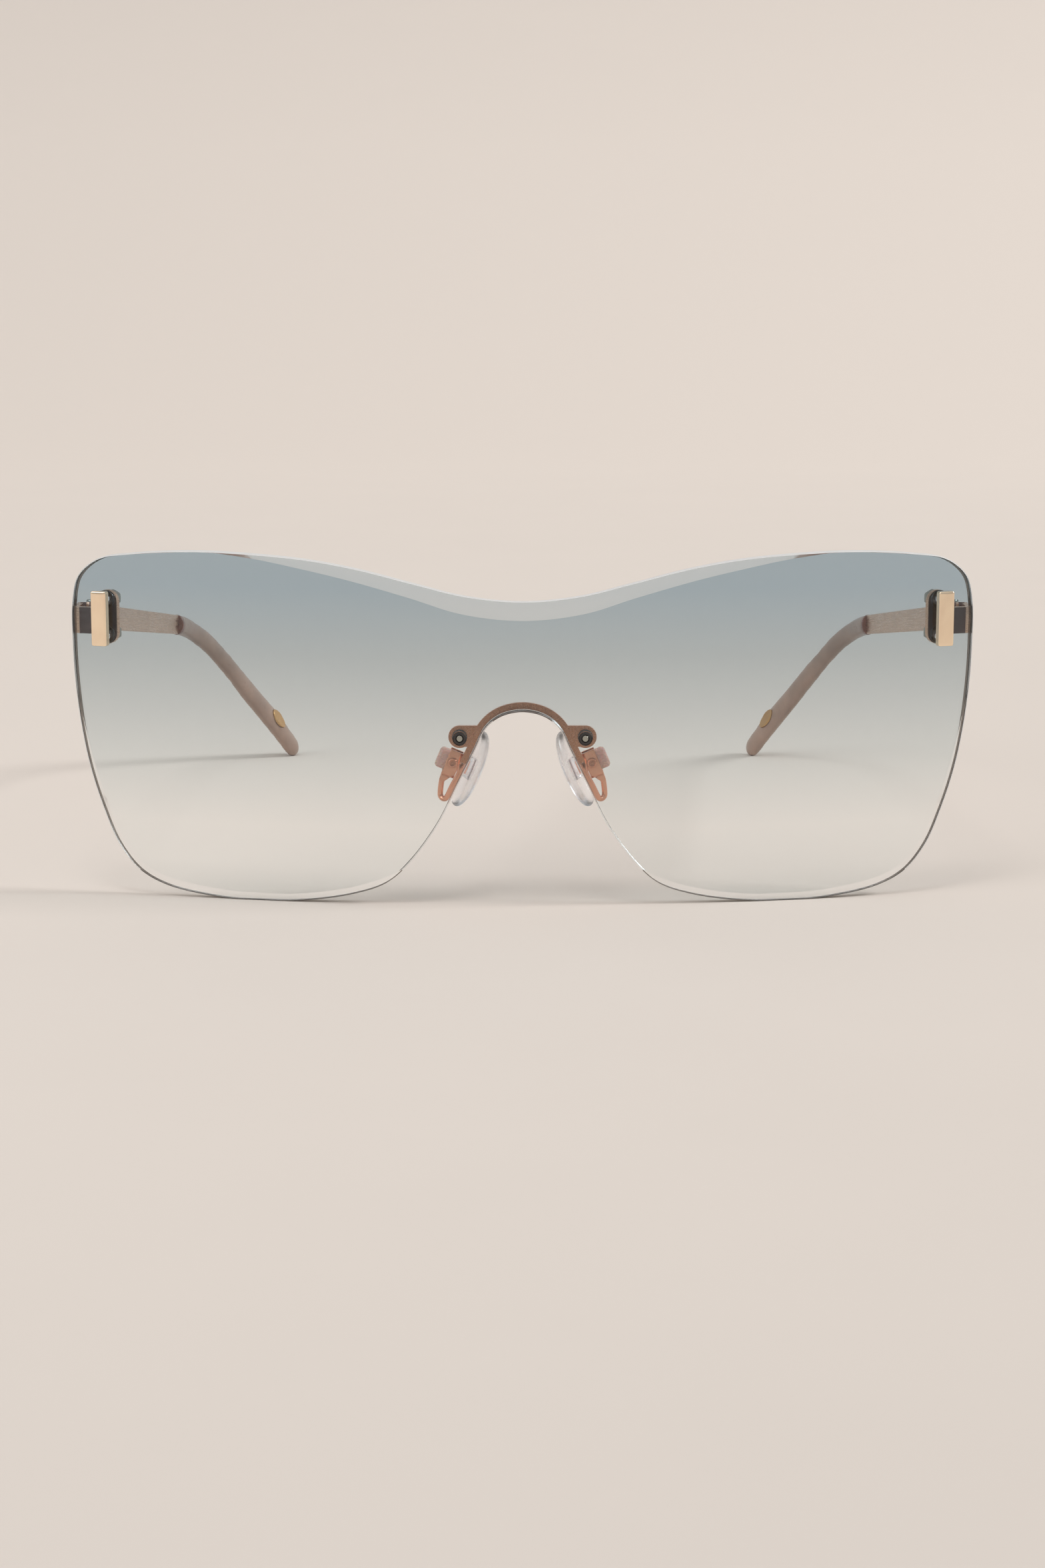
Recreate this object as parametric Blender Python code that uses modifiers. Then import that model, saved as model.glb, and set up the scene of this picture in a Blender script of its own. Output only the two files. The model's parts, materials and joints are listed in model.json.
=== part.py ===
"""Rimless sunglasses: one curved shield lens, a bridge bracket with two nose pads, and two folding temples.

The front faces -Y and +Z is up. Left and right are as seen from the front, so side +1 is right, at +X.
Lengths are in metres. The pair stands on two small flats under the lens and on its two temple tips.
"""

import math

import bmesh
import bpy
from mathutils import Matrix, Vector

# Lens
LENS_HALF_WIDTH = 0.0715
LENS_HEIGHT = 0.0554
LENS_THICKNESS = 0.0020
LENS_FRONT_RADIUS = 0.2200
LENS_FOOT_DEPTH = 0.0001
LENS_EDGE_BEVEL = 0.00025
LENS_BEND_STEP = 0.0055
FACET_WIDTH = 0.0029
FACET_SLOPE = 0.30
RIM_STEPS = 3  # straight pieces of the rim between two of its points

# Half of the rim from the brow's centre round to the nose's centre: share of the half width, share of
# the height, and share of the facet's full width.
RIM_SHARES = (
    (0.000, 0.868, 1.00),
    (0.126, 0.883, 0.95),
    (0.236, 0.917, 0.78),
    (0.362, 0.957, 0.68),
    (0.476, 0.982, 0.52),
    (0.594, 0.995, 0.22),
    (0.727, 1.000, 0.00),
    (0.863, 0.989, 0.00),
    (0.936, 0.972, 0.00),
    (0.984, 0.920, 0.00),
    (0.999, 0.840, 0.00),
    (1.000, 0.740, 0.00),
    (0.997, 0.633, 0.04),
    (0.985, 0.488, 0.26),
    (0.966, 0.363, 0.38),
    (0.937, 0.246, 0.42),
    (0.9035, 0.147, 0.45),
    (0.857, 0.074, 0.50),
    (0.797, 0.034, 0.52),
    (0.699, 0.009, 0.50),
    (0.594, 0.000, 0.45),
    (0.476, 0.007, 0.42),
    (0.371, 0.030, 0.40),
    (0.302, 0.062, 0.34),
    (0.252, 0.118, 0.00),
    (0.187, 0.232, 0.00),
    (0.140, 0.354, 0.00),
    (0.105, 0.445, 0.00),
    (0.079, 0.512, 0.00),
    (0.046, 0.545, 0.00),
    (0.000, 0.5575, 0.00),
)
NOSE_START = 25  # the rim point where the nose edge begins

# Clearances: between faces that are clamped together, and round shafts in their holes
FACE_GAP = 0.00006
FIT_GAP = 0.00006
OVERRUN = 0.0010  # how far every cutter runs past what it cuts
WELD_DISTANCE = 0.000002  # points closer than this are one point

# Front plates, their studs, bushings and nuts
PLATE_INSET = 0.0050  # from the lens's widest point
PLATE_DROP = 0.0111  # from the lens's top
PLATE_WIDTH = 0.0026
PLATE_HEIGHT = 0.0087
PLATE_THICKNESS = 0.0013
PLATE_BEVEL = 0.0003
PLATE_BEVEL_STEPS = 3
STUD_RADIUS = 0.0006
STUD_SPACING = 0.0055
STUD_PROUD = 0.0003
SLEEVE_WALL = 0.00042
FLANGE_RADIUS = 0.0015
FLANGE_THICKNESS = 0.00035
NUT_SIDES = 6
NUT_ACROSS_FLATS = 0.0024
NUT_HEIGHT = 0.0018
NUT_BEVEL = 0.00008

# Endpieces: a round-ended back plate and a strap that bends back to the hinge
BACK_PLATE_WIDTH = 0.0036
BACK_PLATE_HEIGHT = 0.0086
BACK_PLATE_THICKNESS = 0.0010
STRAP_HEIGHT = 0.0042
STRAP_THICKNESS = 0.0009
STRAP_INSET = 0.0002  # from the lens's widest point
STRAP_OVERLAP = 0.0006
STRAP_BEND_RADIUS = 0.0013
STRAP_BEND_STEPS = 8
STRAP_BEVEL = 0.00012

# Hinges: two knuckles on the endpiece, one on the temple, and a screw
HINGE_BEHIND = 0.00856  # behind the lens's outer ends
HINGE_DROP = 0.0007  # below the front plate's middle
HINGE_TILT = math.radians(8.0)
KNUCKLE_RADIUS = 0.0013
KNUCKLE_CLEARANCE = 0.00008
MIDDLE_KNUCKLE_HEIGHT = 0.0016
HINGE_SCREW_RADIUS = 0.0006
HINGE_SCREW_HEAD_RADIUS = 0.0010
HINGE_SCREW_HEAD_HEIGHT = 0.0004
WEB_SHARE = 0.75  # how much of a knuckle's radius its web covers lengthwise

# Temples: a tapered flat bar, then a core wire inside a plastic tip
BAR_LENGTH = 0.0894
BAR_END_HEIGHT = 0.0036
BAR_TOE_IN = 0.00342
BAR_BEVEL = 0.00018
CORE_RADIUS = 0.00045
CORE_ROOT = 0.0020
CORE_SHARE = 0.80  # how much of the tip's length the core wire fills
CORE_BORE_SHARE = 0.815
CORE_STATIONS = 9
COLLAR_LENGTH = 0.0012
COLLAR_HEIGHT = 0.0038
COLLAR_WIDTH = 0.0027

# Tips: how far the end lies past the bar and inside it, and its oval section
TIP_REACH = 0.0402
TIP_TOE_IN = 0.0186
TIP_HEIGHT = 0.0050
TIP_WIDTH = 0.0029
TIP_FLAT_DEPTH = 0.00015
# Along the reach: share of the reach, of the drop and of the way inward
TIP_PATH_SHARES = (
    (0.000, 0.000, 0.000),
    (0.125, 0.012, 0.040),
    (0.254, 0.045, 0.098),
    (0.414, 0.138, 0.223),
    (0.586, 0.321, 0.397),
    (0.754, 0.567, 0.614),
    (0.897, 0.800, 0.830),
    (1.000, 1.000, 1.000),
)
# Along the tip: share of its length, of the full height and of the full width
TIP_SECTION_SHARES = (
    (0.00, 0.74, 0.90),
    (0.20, 0.74, 0.88),
    (0.45, 0.80, 0.88),
    (0.70, 0.94, 0.96),
    (0.86, 1.00, 1.00),
    (1.00, 0.92, 0.96),
)
TIP_STATIONS = 20
TIP_SIDES = 16
TIP_END_RINGS = 3
TIP_END_TURN = math.radians(78.0)  # how far round the end's dome its last ring lies

# Plaques let into the inner faces of the tips
PLAQUE_LENGTH = 0.0046
PLAQUE_HEIGHT = 0.0030
PLAQUE_THICKNESS = 0.0004
PLAQUE_SHARE = 0.86
PLAQUE_DEPTH = 0.00025

# Bridge bracket, its bushings and screws
BRACKET_THICKNESS = 0.0008
BRACKET_BAND = 0.0010
BRACKET_SETBACK = 0.0002
BRACKET_DROP = 0.00918  # from the top of the nose edge to the ends of the legs
EAR_DROP = 0.00422  # from the top of the nose edge
EAR_OUT = 0.0032  # from the nose edge beside it
EAR_RADIUS = 0.00175
EAR_WEB_SHARE = 0.9  # how far down the ear's radius its web to the band reaches
BRIDGE_FLANGE_GAP = 0.00012
BRIDGE_FLANGE_RADIUS = 0.00118
BRIDGE_SHANK_RADIUS = 0.00055
BRIDGE_HEAD_RADIUS = 0.00100
BRIDGE_HEAD_HEIGHT = 0.00045
SLOT_WIDTH = 0.00022
SLOT_DEPTH = 0.00020

# Pad arms: a wire from the bracket's leg to a clip that holds the pad's lug
WIRE_RADIUS = 0.00045
PAD_SCREW_OUT = 0.00115  # from the ear's centre: outward, down, and behind the bracket
PAD_SCREW_DROP = 0.00466
PAD_SCREW_BEHIND = 0.00384
PAD_TILT = math.radians(23.0)
PAD_SPLAY = math.radians(24.0)
CLIP_WIDTH = 0.0021
CLIP_ABOVE = 0.0019
CLIP_BELOW = 0.0024
CLIP_THICKNESS = 0.00045
CLIP_BEND_RADIUS = 0.0003
CLIP_BEND_STEPS = 4
CLIP_BEVEL = 0.00010
WIRE_SINK = 0.0002
WIRE_FOOT_SHARE = 0.25  # how far out along the clip's width the wire ends
WIRE_STEPS = 2
WIRE_BEND_RADIUS = 0.0007
WIRE_BEND_POINTS = 6
WIRE_BEND_YAW = math.radians(35.0)
WIRE_BEND_START = math.radians(25.0)
# Two places on the way down from the bracket's leg and the centre of the bend, from the clip's screw:
# right, back and up, each as a share of the clip's height
WIRE_DOWN_SHARES = ((-0.240, -0.740, -0.320), (0.010, -0.380, -0.830))
WIRE_BEND_SHARES = (0.335, -0.080, -1.210)
PAD_SCREW_RADIUS = 0.00040
PAD_SCREW_HEAD_RADIUS = 0.00075
PAD_SCREW_HEAD_HEIGHT = 0.00035

# Nose pads and their lugs
LUG_THICKNESS = 0.0015
LUG_HEIGHT = 0.0034
LUG_REACH = 0.0026
LUG_INNER = 0.00315
LUG_BEVEL = 0.0004
LUG_FOOT_LENGTH = 0.0034
LUG_FOOT_WIDTH = 0.0022
LUG_FOOT_THICKNESS = 0.0006
LUG_FOOT_COVER = 0.0002
PAD_LENGTH = 0.0128
PAD_WIDTH = 0.0072
PAD_DOME = 0.0013
PAD_BACK = 0.0007
PAD_INWARD = 0.0029
PAD_BEHIND = 0.0010
PAD_BELOW = 0.0003
PAD_SQUARENESS = 0.88

ROUND_SIDES = 20
SMALL_SIDES = 12
ROUND_END_STEPS = 10
BEVEL_STEPS = 2
SMOOTH_ANGLE = math.radians(35.0)

# What each material looks like: linear colour, metallic, roughness, transmission
MATERIALS = {
    "tinted_lens": ((0.42, 0.47, 0.46, 1.0), 0.0, 0.03, 0.9),
    "polished_gold_plate": ((0.78, 0.52, 0.33, 1.0), 1.0, 0.18, 0.0),
    "rose_gold_plate": ((0.60, 0.31, 0.19, 1.0), 1.0, 0.22, 0.0),
    "gunmetal_plate": ((0.30, 0.24, 0.20, 1.0), 1.0, 0.25, 0.0),
    "bright_steel": ((0.52, 0.52, 0.50, 1.0), 1.0, 0.25, 0.0),
    "clear_nylon": ((0.80, 0.80, 0.78, 1.0), 0.0, 0.15, 0.8),
    "dark_nylon": ((0.04, 0.03, 0.03, 1.0), 0.0, 0.40, 0.0),
    "clear_silicone": ((0.85, 0.85, 0.84, 1.0), 0.0, 0.20, 0.8),
    "pink_polycarbonate": ((0.75, 0.45, 0.38, 1.0), 0.0, 0.25, 0.5),
    "taupe_acetate": ((0.30, 0.22, 0.18, 1.0), 0.0, 0.30, 0.2),
    "red_brown_acetate": ((0.12, 0.05, 0.035, 1.0), 0.0, 0.30, 0.0),
}

MIRROR_X = Matrix.Diagonal((-1.0, 1.0, 1.0, 1.0))


def side_name(stem, side):
    return f"{stem}_right" if side > 0 else f"{stem}_left"


def make_collection(name):
    collection = bpy.data.collections.new(name)
    bpy.context.scene.collection.children.link(collection)
    return collection


def make_material(name):
    colour, metallic, roughness, transmission = MATERIALS[name]
    material = bpy.data.materials.new(name)
    material.use_nodes = True
    shader = material.node_tree.nodes["Principled BSDF"]
    shader.inputs["Base Color"].default_value = colour
    shader.inputs["Metallic"].default_value = metallic
    shader.inputs["Roughness"].default_value = roughness
    shader.inputs["Transmission Weight"].default_value = transmission
    material.diffuse_color = colour
    return material


def find_material(name):
    return bpy.data.materials.get(name) or make_material(name)


def add_part(name, bm, material, frame, side=1, parent=None):
    """Makes a named piece from a mesh drawn for the right-hand side in its own frame."""
    obj = link_mesh(name, bm, frame, side, parent, bpy.data.collections["sunglasses"])
    obj.data.materials.append(find_material(material))
    obj.data.shade_smooth()
    obj.data.set_sharp_from_angle(angle=SMOOTH_ANGLE)
    return obj


def add_helper(name, bm, frame, side=1, parent=None):
    """Makes a hidden shape that a Boolean cuts with or joins on."""
    obj = link_mesh(name, bm, frame, side, parent, bpy.data.collections["cutters"])
    obj.hide_render = True
    obj.display_type = "WIRE"
    return obj


def link_mesh(name, bm, frame, side, parent, collection):
    if side < 0:
        bmesh.ops.transform(bm, matrix=MIRROR_X, verts=bm.verts)
        bmesh.ops.reverse_faces(bm, faces=bm.faces)
        frame = MIRROR_X @ frame @ MIRROR_X
    mesh = bpy.data.meshes.new(name)
    bm.to_mesh(mesh)
    bm.free()
    obj = bpy.data.objects.new(name, mesh)
    collection.objects.link(obj)
    obj.matrix_world = frame
    if parent:
        obj.parent = parent
        obj.matrix_parent_inverse = parent.matrix_world.inverted()
    return obj


def combine(obj, helper, operation):
    modifier = obj.modifiers.new(f"{operation.title()} {helper.name}", "BOOLEAN")
    modifier.object = helper
    modifier.operation = operation
    modifier.solver = "EXACT"
    return modifier


def cut(obj, helper):
    return combine(obj, helper, "DIFFERENCE")


def join(obj, helper):
    return combine(obj, helper, "UNION")


def round_edges(obj, width, segments=1):
    modifier = obj.modifiers.new("Rounded edges", "BEVEL")
    modifier.width = width
    modifier.segments = segments
    modifier.harden_normals = True
    modifier.limit_method = "ANGLE"
    modifier.angle_limit = SMOOTH_ANGLE
    return modifier


def block(low, high):
    """A box between two opposite corners."""
    bm = bmesh.new()
    bmesh.ops.create_cube(bm, size=1.0)
    low, high = Vector(low), Vector(high)
    size = high - low
    for vert in bm.verts:
        vert.co = low + Vector((vert.co[i] + 0.5) * size[i] for i in range(3))
    return bm


def cylinder(radius, start, end, sides=ROUND_SIDES, x=0.0, y=0.0):
    """A cylinder along Z from start to end."""
    bm = bmesh.new()
    place = Matrix.Translation((x, y, (start + end) / 2))
    bmesh.ops.create_cone(
        bm, cap_ends=True, segments=sides, radius1=radius, radius2=radius, depth=end - start, matrix=place
    )
    return bm


def turned(name, profile, material, frame, side=1, parent=None, sides=ROUND_SIDES):
    """A turned piece: the profile (radius, height) runs down the outer side and is spun round Z."""
    bm = bmesh.new()
    verts = [bm.verts.new((radius, 0.0, height)) for radius, height in profile]
    closed = profile[0][0] > 0 and profile[-1][0] > 0
    for first, second in zip(verts, verts[1:] + verts[:1] if closed else verts[1:]):
        bm.edges.new((first, second))
    obj = link_mesh(name, bm, frame, 1, parent, bpy.data.collections["sunglasses"])
    if side < 0:
        obj.matrix_world = MIRROR_X @ frame @ MIRROR_X
    obj.data.materials.append(find_material(material))
    screw = obj.modifiers.new("Turned", "SCREW")
    screw.axis = "Z"
    screw.steps = screw.render_steps = sides
    screw.use_merge_vertices = True
    screw.merge_threshold = WELD_DISTANCE
    screw.use_smooth_shade = False
    return obj


def smooth_curve(points, steps, closed=False):
    """Points along a centripetal Catmull-Rom curve, steps for each span."""
    count = len(points)
    result = []
    for i in range(count if closed else count - 1):
        if closed:
            p0, p1, p2, p3 = (points[(i + k) % count] for k in (-1, 0, 1, 2))
        else:
            p1, p2 = points[i], points[i + 1]
            p0 = points[i - 1] if i else p1 * 2 - p2
            p3 = points[i + 2] if i + 2 < count else p2 * 2 - p1
        t0 = 0.0
        t1 = t0 + math.sqrt((p1 - p0).length)
        t2 = t1 + math.sqrt((p2 - p1).length)
        t3 = t2 + math.sqrt((p3 - p2).length)
        for step in range(steps):
            t = t1 + (t2 - t1) * step / steps
            a1 = p0 * ((t1 - t) / (t1 - t0)) + p1 * ((t - t0) / (t1 - t0))
            a2 = p1 * ((t2 - t) / (t2 - t1)) + p2 * ((t - t1) / (t2 - t1))
            a3 = p2 * ((t3 - t) / (t3 - t2)) + p3 * ((t - t2) / (t3 - t2))
            b1 = a1 * ((t2 - t) / (t2 - t0)) + a2 * ((t - t0) / (t2 - t0))
            b2 = a2 * ((t3 - t) / (t3 - t1)) + a3 * ((t - t1) / (t3 - t1))
            result.append(b1 * ((t2 - t) / (t2 - t1)) + b2 * ((t - t1) / (t2 - t1)))
    if not closed:
        result.append(points[-1].copy())
    return result


def curve_mesh(curve):
    """A mesh from a curve, with its caps welded, ready for a Boolean."""
    carrier = bpy.data.objects.new(curve.name, curve)
    bpy.context.scene.collection.objects.link(carrier)
    bpy.context.view_layer.update()
    graph = bpy.context.evaluated_depsgraph_get()
    mesh = bpy.data.meshes.new_from_object(carrier.evaluated_get(graph))
    bm = bmesh.new()
    bm.from_mesh(mesh)
    bmesh.ops.remove_doubles(bm, verts=bm.verts, dist=WELD_DISTANCE)
    bpy.data.objects.remove(carrier)
    bpy.data.curves.remove(curve)
    bpy.data.meshes.remove(mesh)
    return bm


def sheet(outline, thickness):
    """A flat piece: the outline (x, y) filled, half its thickness on each side of z = 0."""
    curve = bpy.data.curves.new("outline", "CURVE")
    curve.dimensions = "2D"
    curve.fill_mode = "BOTH"
    curve.extrude = thickness / 2
    spline = curve.splines.new("POLY")
    spline.points.add(len(outline) - 1)
    for point, (x, y) in zip(spline.points, outline):
        point.co = (x, y, 0.0, 1.0)
    spline.use_cyclic_u = True
    return curve_mesh(curve)


def wire(points, radius):
    """A round wire through the points, with closed ends."""
    curve = bpy.data.curves.new("wire", "CURVE")
    curve.dimensions = "3D"
    curve.bevel_depth = radius
    curve.bevel_resolution = 2
    curve.use_fill_caps = True
    spline = curve.splines.new("POLY")
    spline.points.add(len(points) - 1)
    for point, place in zip(spline.points, points):
        point.co = (*place, 1.0)
    return curve_mesh(curve)


def ribbon(path, thickness):
    """The outline of a strip of the given thickness along a path in the plane."""
    left, right = [], []
    for i, point in enumerate(path):
        before = path[max(i - 1, 0)]
        after = path[min(i + 1, len(path) - 1)]
        along = (after - before).normalized()
        across = Vector((-along.y, along.x)) * (thickness / 2)
        left.append(point + across)
        right.append(point - across)
    return [tuple(p) for p in right + left[::-1]]


def filleted(start, corner, end, radius, steps):
    """A path from start to end whose corner is rounded to a radius."""
    first = (start - corner).normalized()
    second = (end - corner).normalized()
    half = first.angle(second) / 2
    centre = corner + (first + second).normalized() * (radius / math.sin(half))
    enter = corner + first * (radius / math.tan(half))
    leave = corner + second * (radius / math.tan(half))
    turn = (enter - centre).angle_signed(leave - centre)
    arc = []
    for step in range(steps + 1):
        spin = Matrix.Rotation(-turn * step / steps, 2)
        arc.append(centre + spin @ (enter - centre))
    return [start, *arc, end]


def loft(rings):
    """A closed skin through rings of equally many points, with flat ends."""
    bm = bmesh.new()
    loops = [[bm.verts.new(point) for point in ring] for ring in rings]
    for lower, upper in zip(loops, loops[1:]):
        for i in range(len(lower)):
            j = (i + 1) % len(lower)
            bm.faces.new((lower[i], lower[j], upper[j], upper[i]))
    bm.faces.new(loops[0][::-1])
    bm.faces.new(loops[-1])
    bmesh.ops.recalc_face_normals(bm, faces=bm.faces)
    return bm


def interpolate(table, at):
    """Reads a table of shares whose first column rises from 0 to 1."""
    for low, high in zip(table, table[1:]):
        if at <= high[0]:
            blend = (at - low[0]) / (high[0] - low[0])
            blend = blend * blend * (3 - 2 * blend)
            return [a + (b - a) * blend for a, b in zip(low[1:], high[1:])]
    return list(table[-1][1:])


# The lens's own geometry, which the pieces fixed to it share


def lens_depth(x):
    """How far back the front surface lies at x."""
    return LENS_FRONT_RADIUS - math.sqrt(LENS_FRONT_RADIUS**2 - x**2)


def lens_frame(x, z, depth=0.0):
    """A frame on the lens: X along the surface, Y up, Z out of the front, depth behind the front."""
    angle = math.asin(x / LENS_FRONT_RADIUS)
    radius = LENS_FRONT_RADIUS - depth
    place = Vector((radius * math.sin(angle), LENS_FRONT_RADIUS - radius * math.cos(angle), z))
    frame = Matrix.Translation(place) @ Matrix.Rotation(angle, 4, "Z") @ Matrix.Rotation(math.pi / 2, 4, "X")
    return frame


def rim_points():
    """The rim seen from the front, as points (x, z, facet width), round the whole lens."""
    half = [
        Vector((x * LENS_HALF_WIDTH, z * LENS_HEIGHT, facet * FACET_WIDTH)) for x, z, facet in RIM_SHARES
    ]
    mirrored = [Vector((-p.x, p.y, p.z)) for p in half[-2:0:-1]]
    points = smooth_curve(half + mirrored, RIM_STEPS, closed=True)
    return [
        Vector((p.x, max(p.y - LENS_FOOT_DEPTH, 0.0), max(p.z, LENS_EDGE_BEVEL))) for p in points
    ]


def nose_edge():
    """The right half of the nose edge, from the bottom up to the middle, as (x, z)."""
    points = rim_points()[NOSE_START * RIM_STEPS : (len(RIM_SHARES) - 1) * RIM_STEPS + 1]
    return [Vector((p.x, p.y)) for p in points if p.y > BRACKET_LEG_Z]


def right_at(path, height):
    """The point at a height on a path that rises."""
    for below, above in zip(path, path[1:]):
        if above.y >= height:
            break
    return below.lerp(above, (height - below.y) / (above.y - below.y))


# Places that follow the lens
PLATE_X = LENS_HALF_WIDTH - PLATE_INSET
PLATE_Z = LENS_HEIGHT - PLATE_DROP
STRAP_OUTER_X = LENS_HALF_WIDTH - STRAP_INSET
NOSE_TOP = RIM_SHARES[-1][1] * LENS_HEIGHT - LENS_FOOT_DEPTH
BRACKET_LEG_Z = NOSE_TOP - BRACKET_DROP
EAR_Z = NOSE_TOP - EAR_DROP
EAR_X = right_at(nose_edge(), EAR_Z).x + EAR_OUT

# The stack behind a front plate, each depth measured from the lens's front surface
FLANGE_DEPTH = LENS_THICKNESS + FACE_GAP
BACK_PLATE_DEPTH = FLANGE_DEPTH + FLANGE_THICKNESS + FACE_GAP
NUT_DEPTH = BACK_PLATE_DEPTH + BACK_PLATE_THICKNESS + FACE_GAP
STUD_DEPTH = NUT_DEPTH + NUT_HEIGHT + STUD_PROUD
SLEEVE_BORE = STUD_RADIUS + FIT_GAP
SLEEVE_RADIUS = SLEEVE_BORE + SLEEVE_WALL
LENS_HOLE_RADIUS = SLEEVE_RADIUS + FIT_GAP

# The hinge axis, with the bar and strap lying just outside the knuckles
BAR_INNER = KNUCKLE_RADIUS + KNUCKLE_CLEARANCE
HINGE_X = STRAP_OUTER_X - STRAP_THICKNESS - BAR_INNER
HINGE_Y = lens_depth(LENS_HALF_WIDTH) + HINGE_BEHIND
HINGE_Z = PLATE_Z - HINGE_DROP
HINGE_FRAME = Matrix.Translation((HINGE_X, HINGE_Y, HINGE_Z)) @ Matrix.Rotation(-HINGE_TILT, 4, "X")
BAR_MIDDLE = BAR_INNER + STRAP_THICKNESS / 2
BAR_END_INSET = -BAR_TOE_IN
KNUCKLE_TOP = STRAP_HEIGHT / 2
KNUCKLE_SPLIT = MIDDLE_KNUCKLE_HEIGHT / 2

# The tip's end, level with the floor
TIP_END_ROUND = TIP_HEIGHT / 2 * TIP_SECTION_SHARES[-1][1]
TIP_END_ALONG = BAR_LENGTH + TIP_REACH
TIP_END_RISE = TIP_END_ROUND - TIP_FLAT_DEPTH
TIP_DROP = (HINGE_Z - TIP_END_RISE - math.sin(HINGE_TILT) * TIP_END_ALONG) / math.cos(HINGE_TILT)

# The bridge: a flat bracket behind the lens, its screws running straight back
BRIDGE_FLANGE_Y = lens_depth(EAR_X) + LENS_THICKNESS + BRIDGE_FLANGE_GAP
BRACKET_FRONT = BRIDGE_FLANGE_Y + FLANGE_THICKNESS + FACE_GAP
BRACKET_BACK = BRACKET_FRONT + BRACKET_THICKNESS
BRIDGE_SLEEVE_RADIUS = BRIDGE_SHANK_RADIUS + FIT_GAP + SLEEVE_WALL

# The pad clip's frame: X outward, Y back, Z up along the tilted clip, from the pad screw
PAD_SCREW_X = EAR_X + PAD_SCREW_OUT
PAD_SCREW_Y = BRACKET_BACK + PAD_SCREW_BEHIND
PAD_SCREW_Z = EAR_Z - PAD_SCREW_DROP
CLIP_HEIGHT = CLIP_ABOVE + CLIP_BELOW
CLIP_FRAME = Matrix.Translation((PAD_SCREW_X, PAD_SCREW_Y, PAD_SCREW_Z)) @ Matrix.Rotation(-PAD_TILT, 4, "Y")
CHEEK_INNER = LUG_THICKNESS / 2 + FIT_GAP
CHEEK_OUTER = CHEEK_INNER + CLIP_THICKNESS
PAD_FRAME = (
    CLIP_FRAME
    @ Matrix.Translation((-PAD_INWARD, PAD_BEHIND, -PAD_BELOW))
    @ Matrix.Rotation(math.pi - PAD_SPLAY, 4, "Z")
)
LUG_FOOT_FRAME = PAD_FRAME @ Matrix.Translation(
    (LUG_FOOT_COVER - PAD_BACK, PAD_BEHIND / math.cos(PAD_SPLAY), PAD_BELOW)
)


def make_lens():
    """The shield: a flat sheet with its facet and edge bevels, bent to a cylinder, and drilled."""
    rim = rim_points()
    outward = rim_normals(rim)
    bm = loft(
        (
            [Vector((p.x - n.x * p.z, 0.0, p.y - n.y * p.z)) for p, n in zip(rim, outward)],
            [Vector((p.x, p.z * FACET_SLOPE, p.y)) for p in rim],
            [Vector((p.x, LENS_THICKNESS - LENS_EDGE_BEVEL, p.y)) for p in rim],
            [back_line_point(p, n) for p, n in zip(rim, outward)],
        )
    )
    steps = int(LENS_HALF_WIDTH / LENS_BEND_STEP)
    for step in range(-steps, steps + 1):
        geometry = bm.verts[:] + bm.edges[:] + bm.faces[:]
        place = (step * LENS_BEND_STEP, 0.0, 0.0)
        bmesh.ops.bisect_plane(bm, geom=geometry, plane_co=place, plane_no=(1.0, 0.0, 0.0))
    for vert in bm.verts:
        vert.co = lens_frame(vert.co.x, vert.co.z, vert.co.y).translation
    lens = add_part("shield_lens", bm, "tinted_lens", Matrix.Identity(4))
    for side in (1, -1):
        for level, height in (("upper", PLATE_Z + STUD_SPACING / 2), ("lower", PLATE_Z - STUD_SPACING / 2)):
            hole = cylinder(LENS_HOLE_RADIUS, -LENS_THICKNESS - OVERRUN, OVERRUN)
            frame = lens_frame(PLATE_X, height)
            cut(lens, add_helper(side_name(f"{level}_plate_hole", side), hole, frame, side))
        hole = cylinder(BRIDGE_SLEEVE_RADIUS + FIT_GAP, -BRACKET_BACK, OVERRUN)
        cut(lens, add_helper(side_name("bridge_hole", side), hole, ear_frame(), side))
    return lens


def back_line_point(p, n):
    return Vector((p.x - n.x * LENS_EDGE_BEVEL, LENS_THICKNESS, p.y - n.y * LENS_EDGE_BEVEL))


def rim_normals(rim):
    """Unit vectors out of the lens at each rim point, in the plane of the flat sheet."""
    normals = []
    for before, after in zip(rim[-1:] + rim[:-1], rim[1:] + rim[:1]):
        along = after - before
        normals.append(Vector((-along.y, along.x)).normalized())
    return normals


def ear_frame():
    """The frame of a bridge screw: Z straight out of the front, at the plane of the lens's front apex."""
    return Matrix.Translation((EAR_X, 0.0, EAR_Z)) @ Matrix.Rotation(math.pi / 2, 4, "X")


def make_front_plate(side):
    """A gold bar on the lens's front with two threaded studs through the lens."""
    frame = lens_frame(PLATE_X, PLATE_Z)
    low = (-PLATE_WIDTH / 2, -PLATE_HEIGHT / 2, FACE_GAP)
    high = (PLATE_WIDTH / 2, PLATE_HEIGHT / 2, FACE_GAP + PLATE_THICKNESS)
    plate = add_part(side_name("front_plate", side), block(low, high), "polished_gold_plate", frame, side)
    round_edges(plate, PLATE_BEVEL, PLATE_BEVEL_STEPS)
    for level, height in (("upper", STUD_SPACING / 2), ("lower", -STUD_SPACING / 2)):
        stud = cylinder(STUD_RADIUS, -STUD_DEPTH, PLATE_THICKNESS / 2, SMALL_SIDES, y=height)
        join(plate, add_helper(side_name(f"{level}_stud", side), stud, frame, side))


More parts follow.
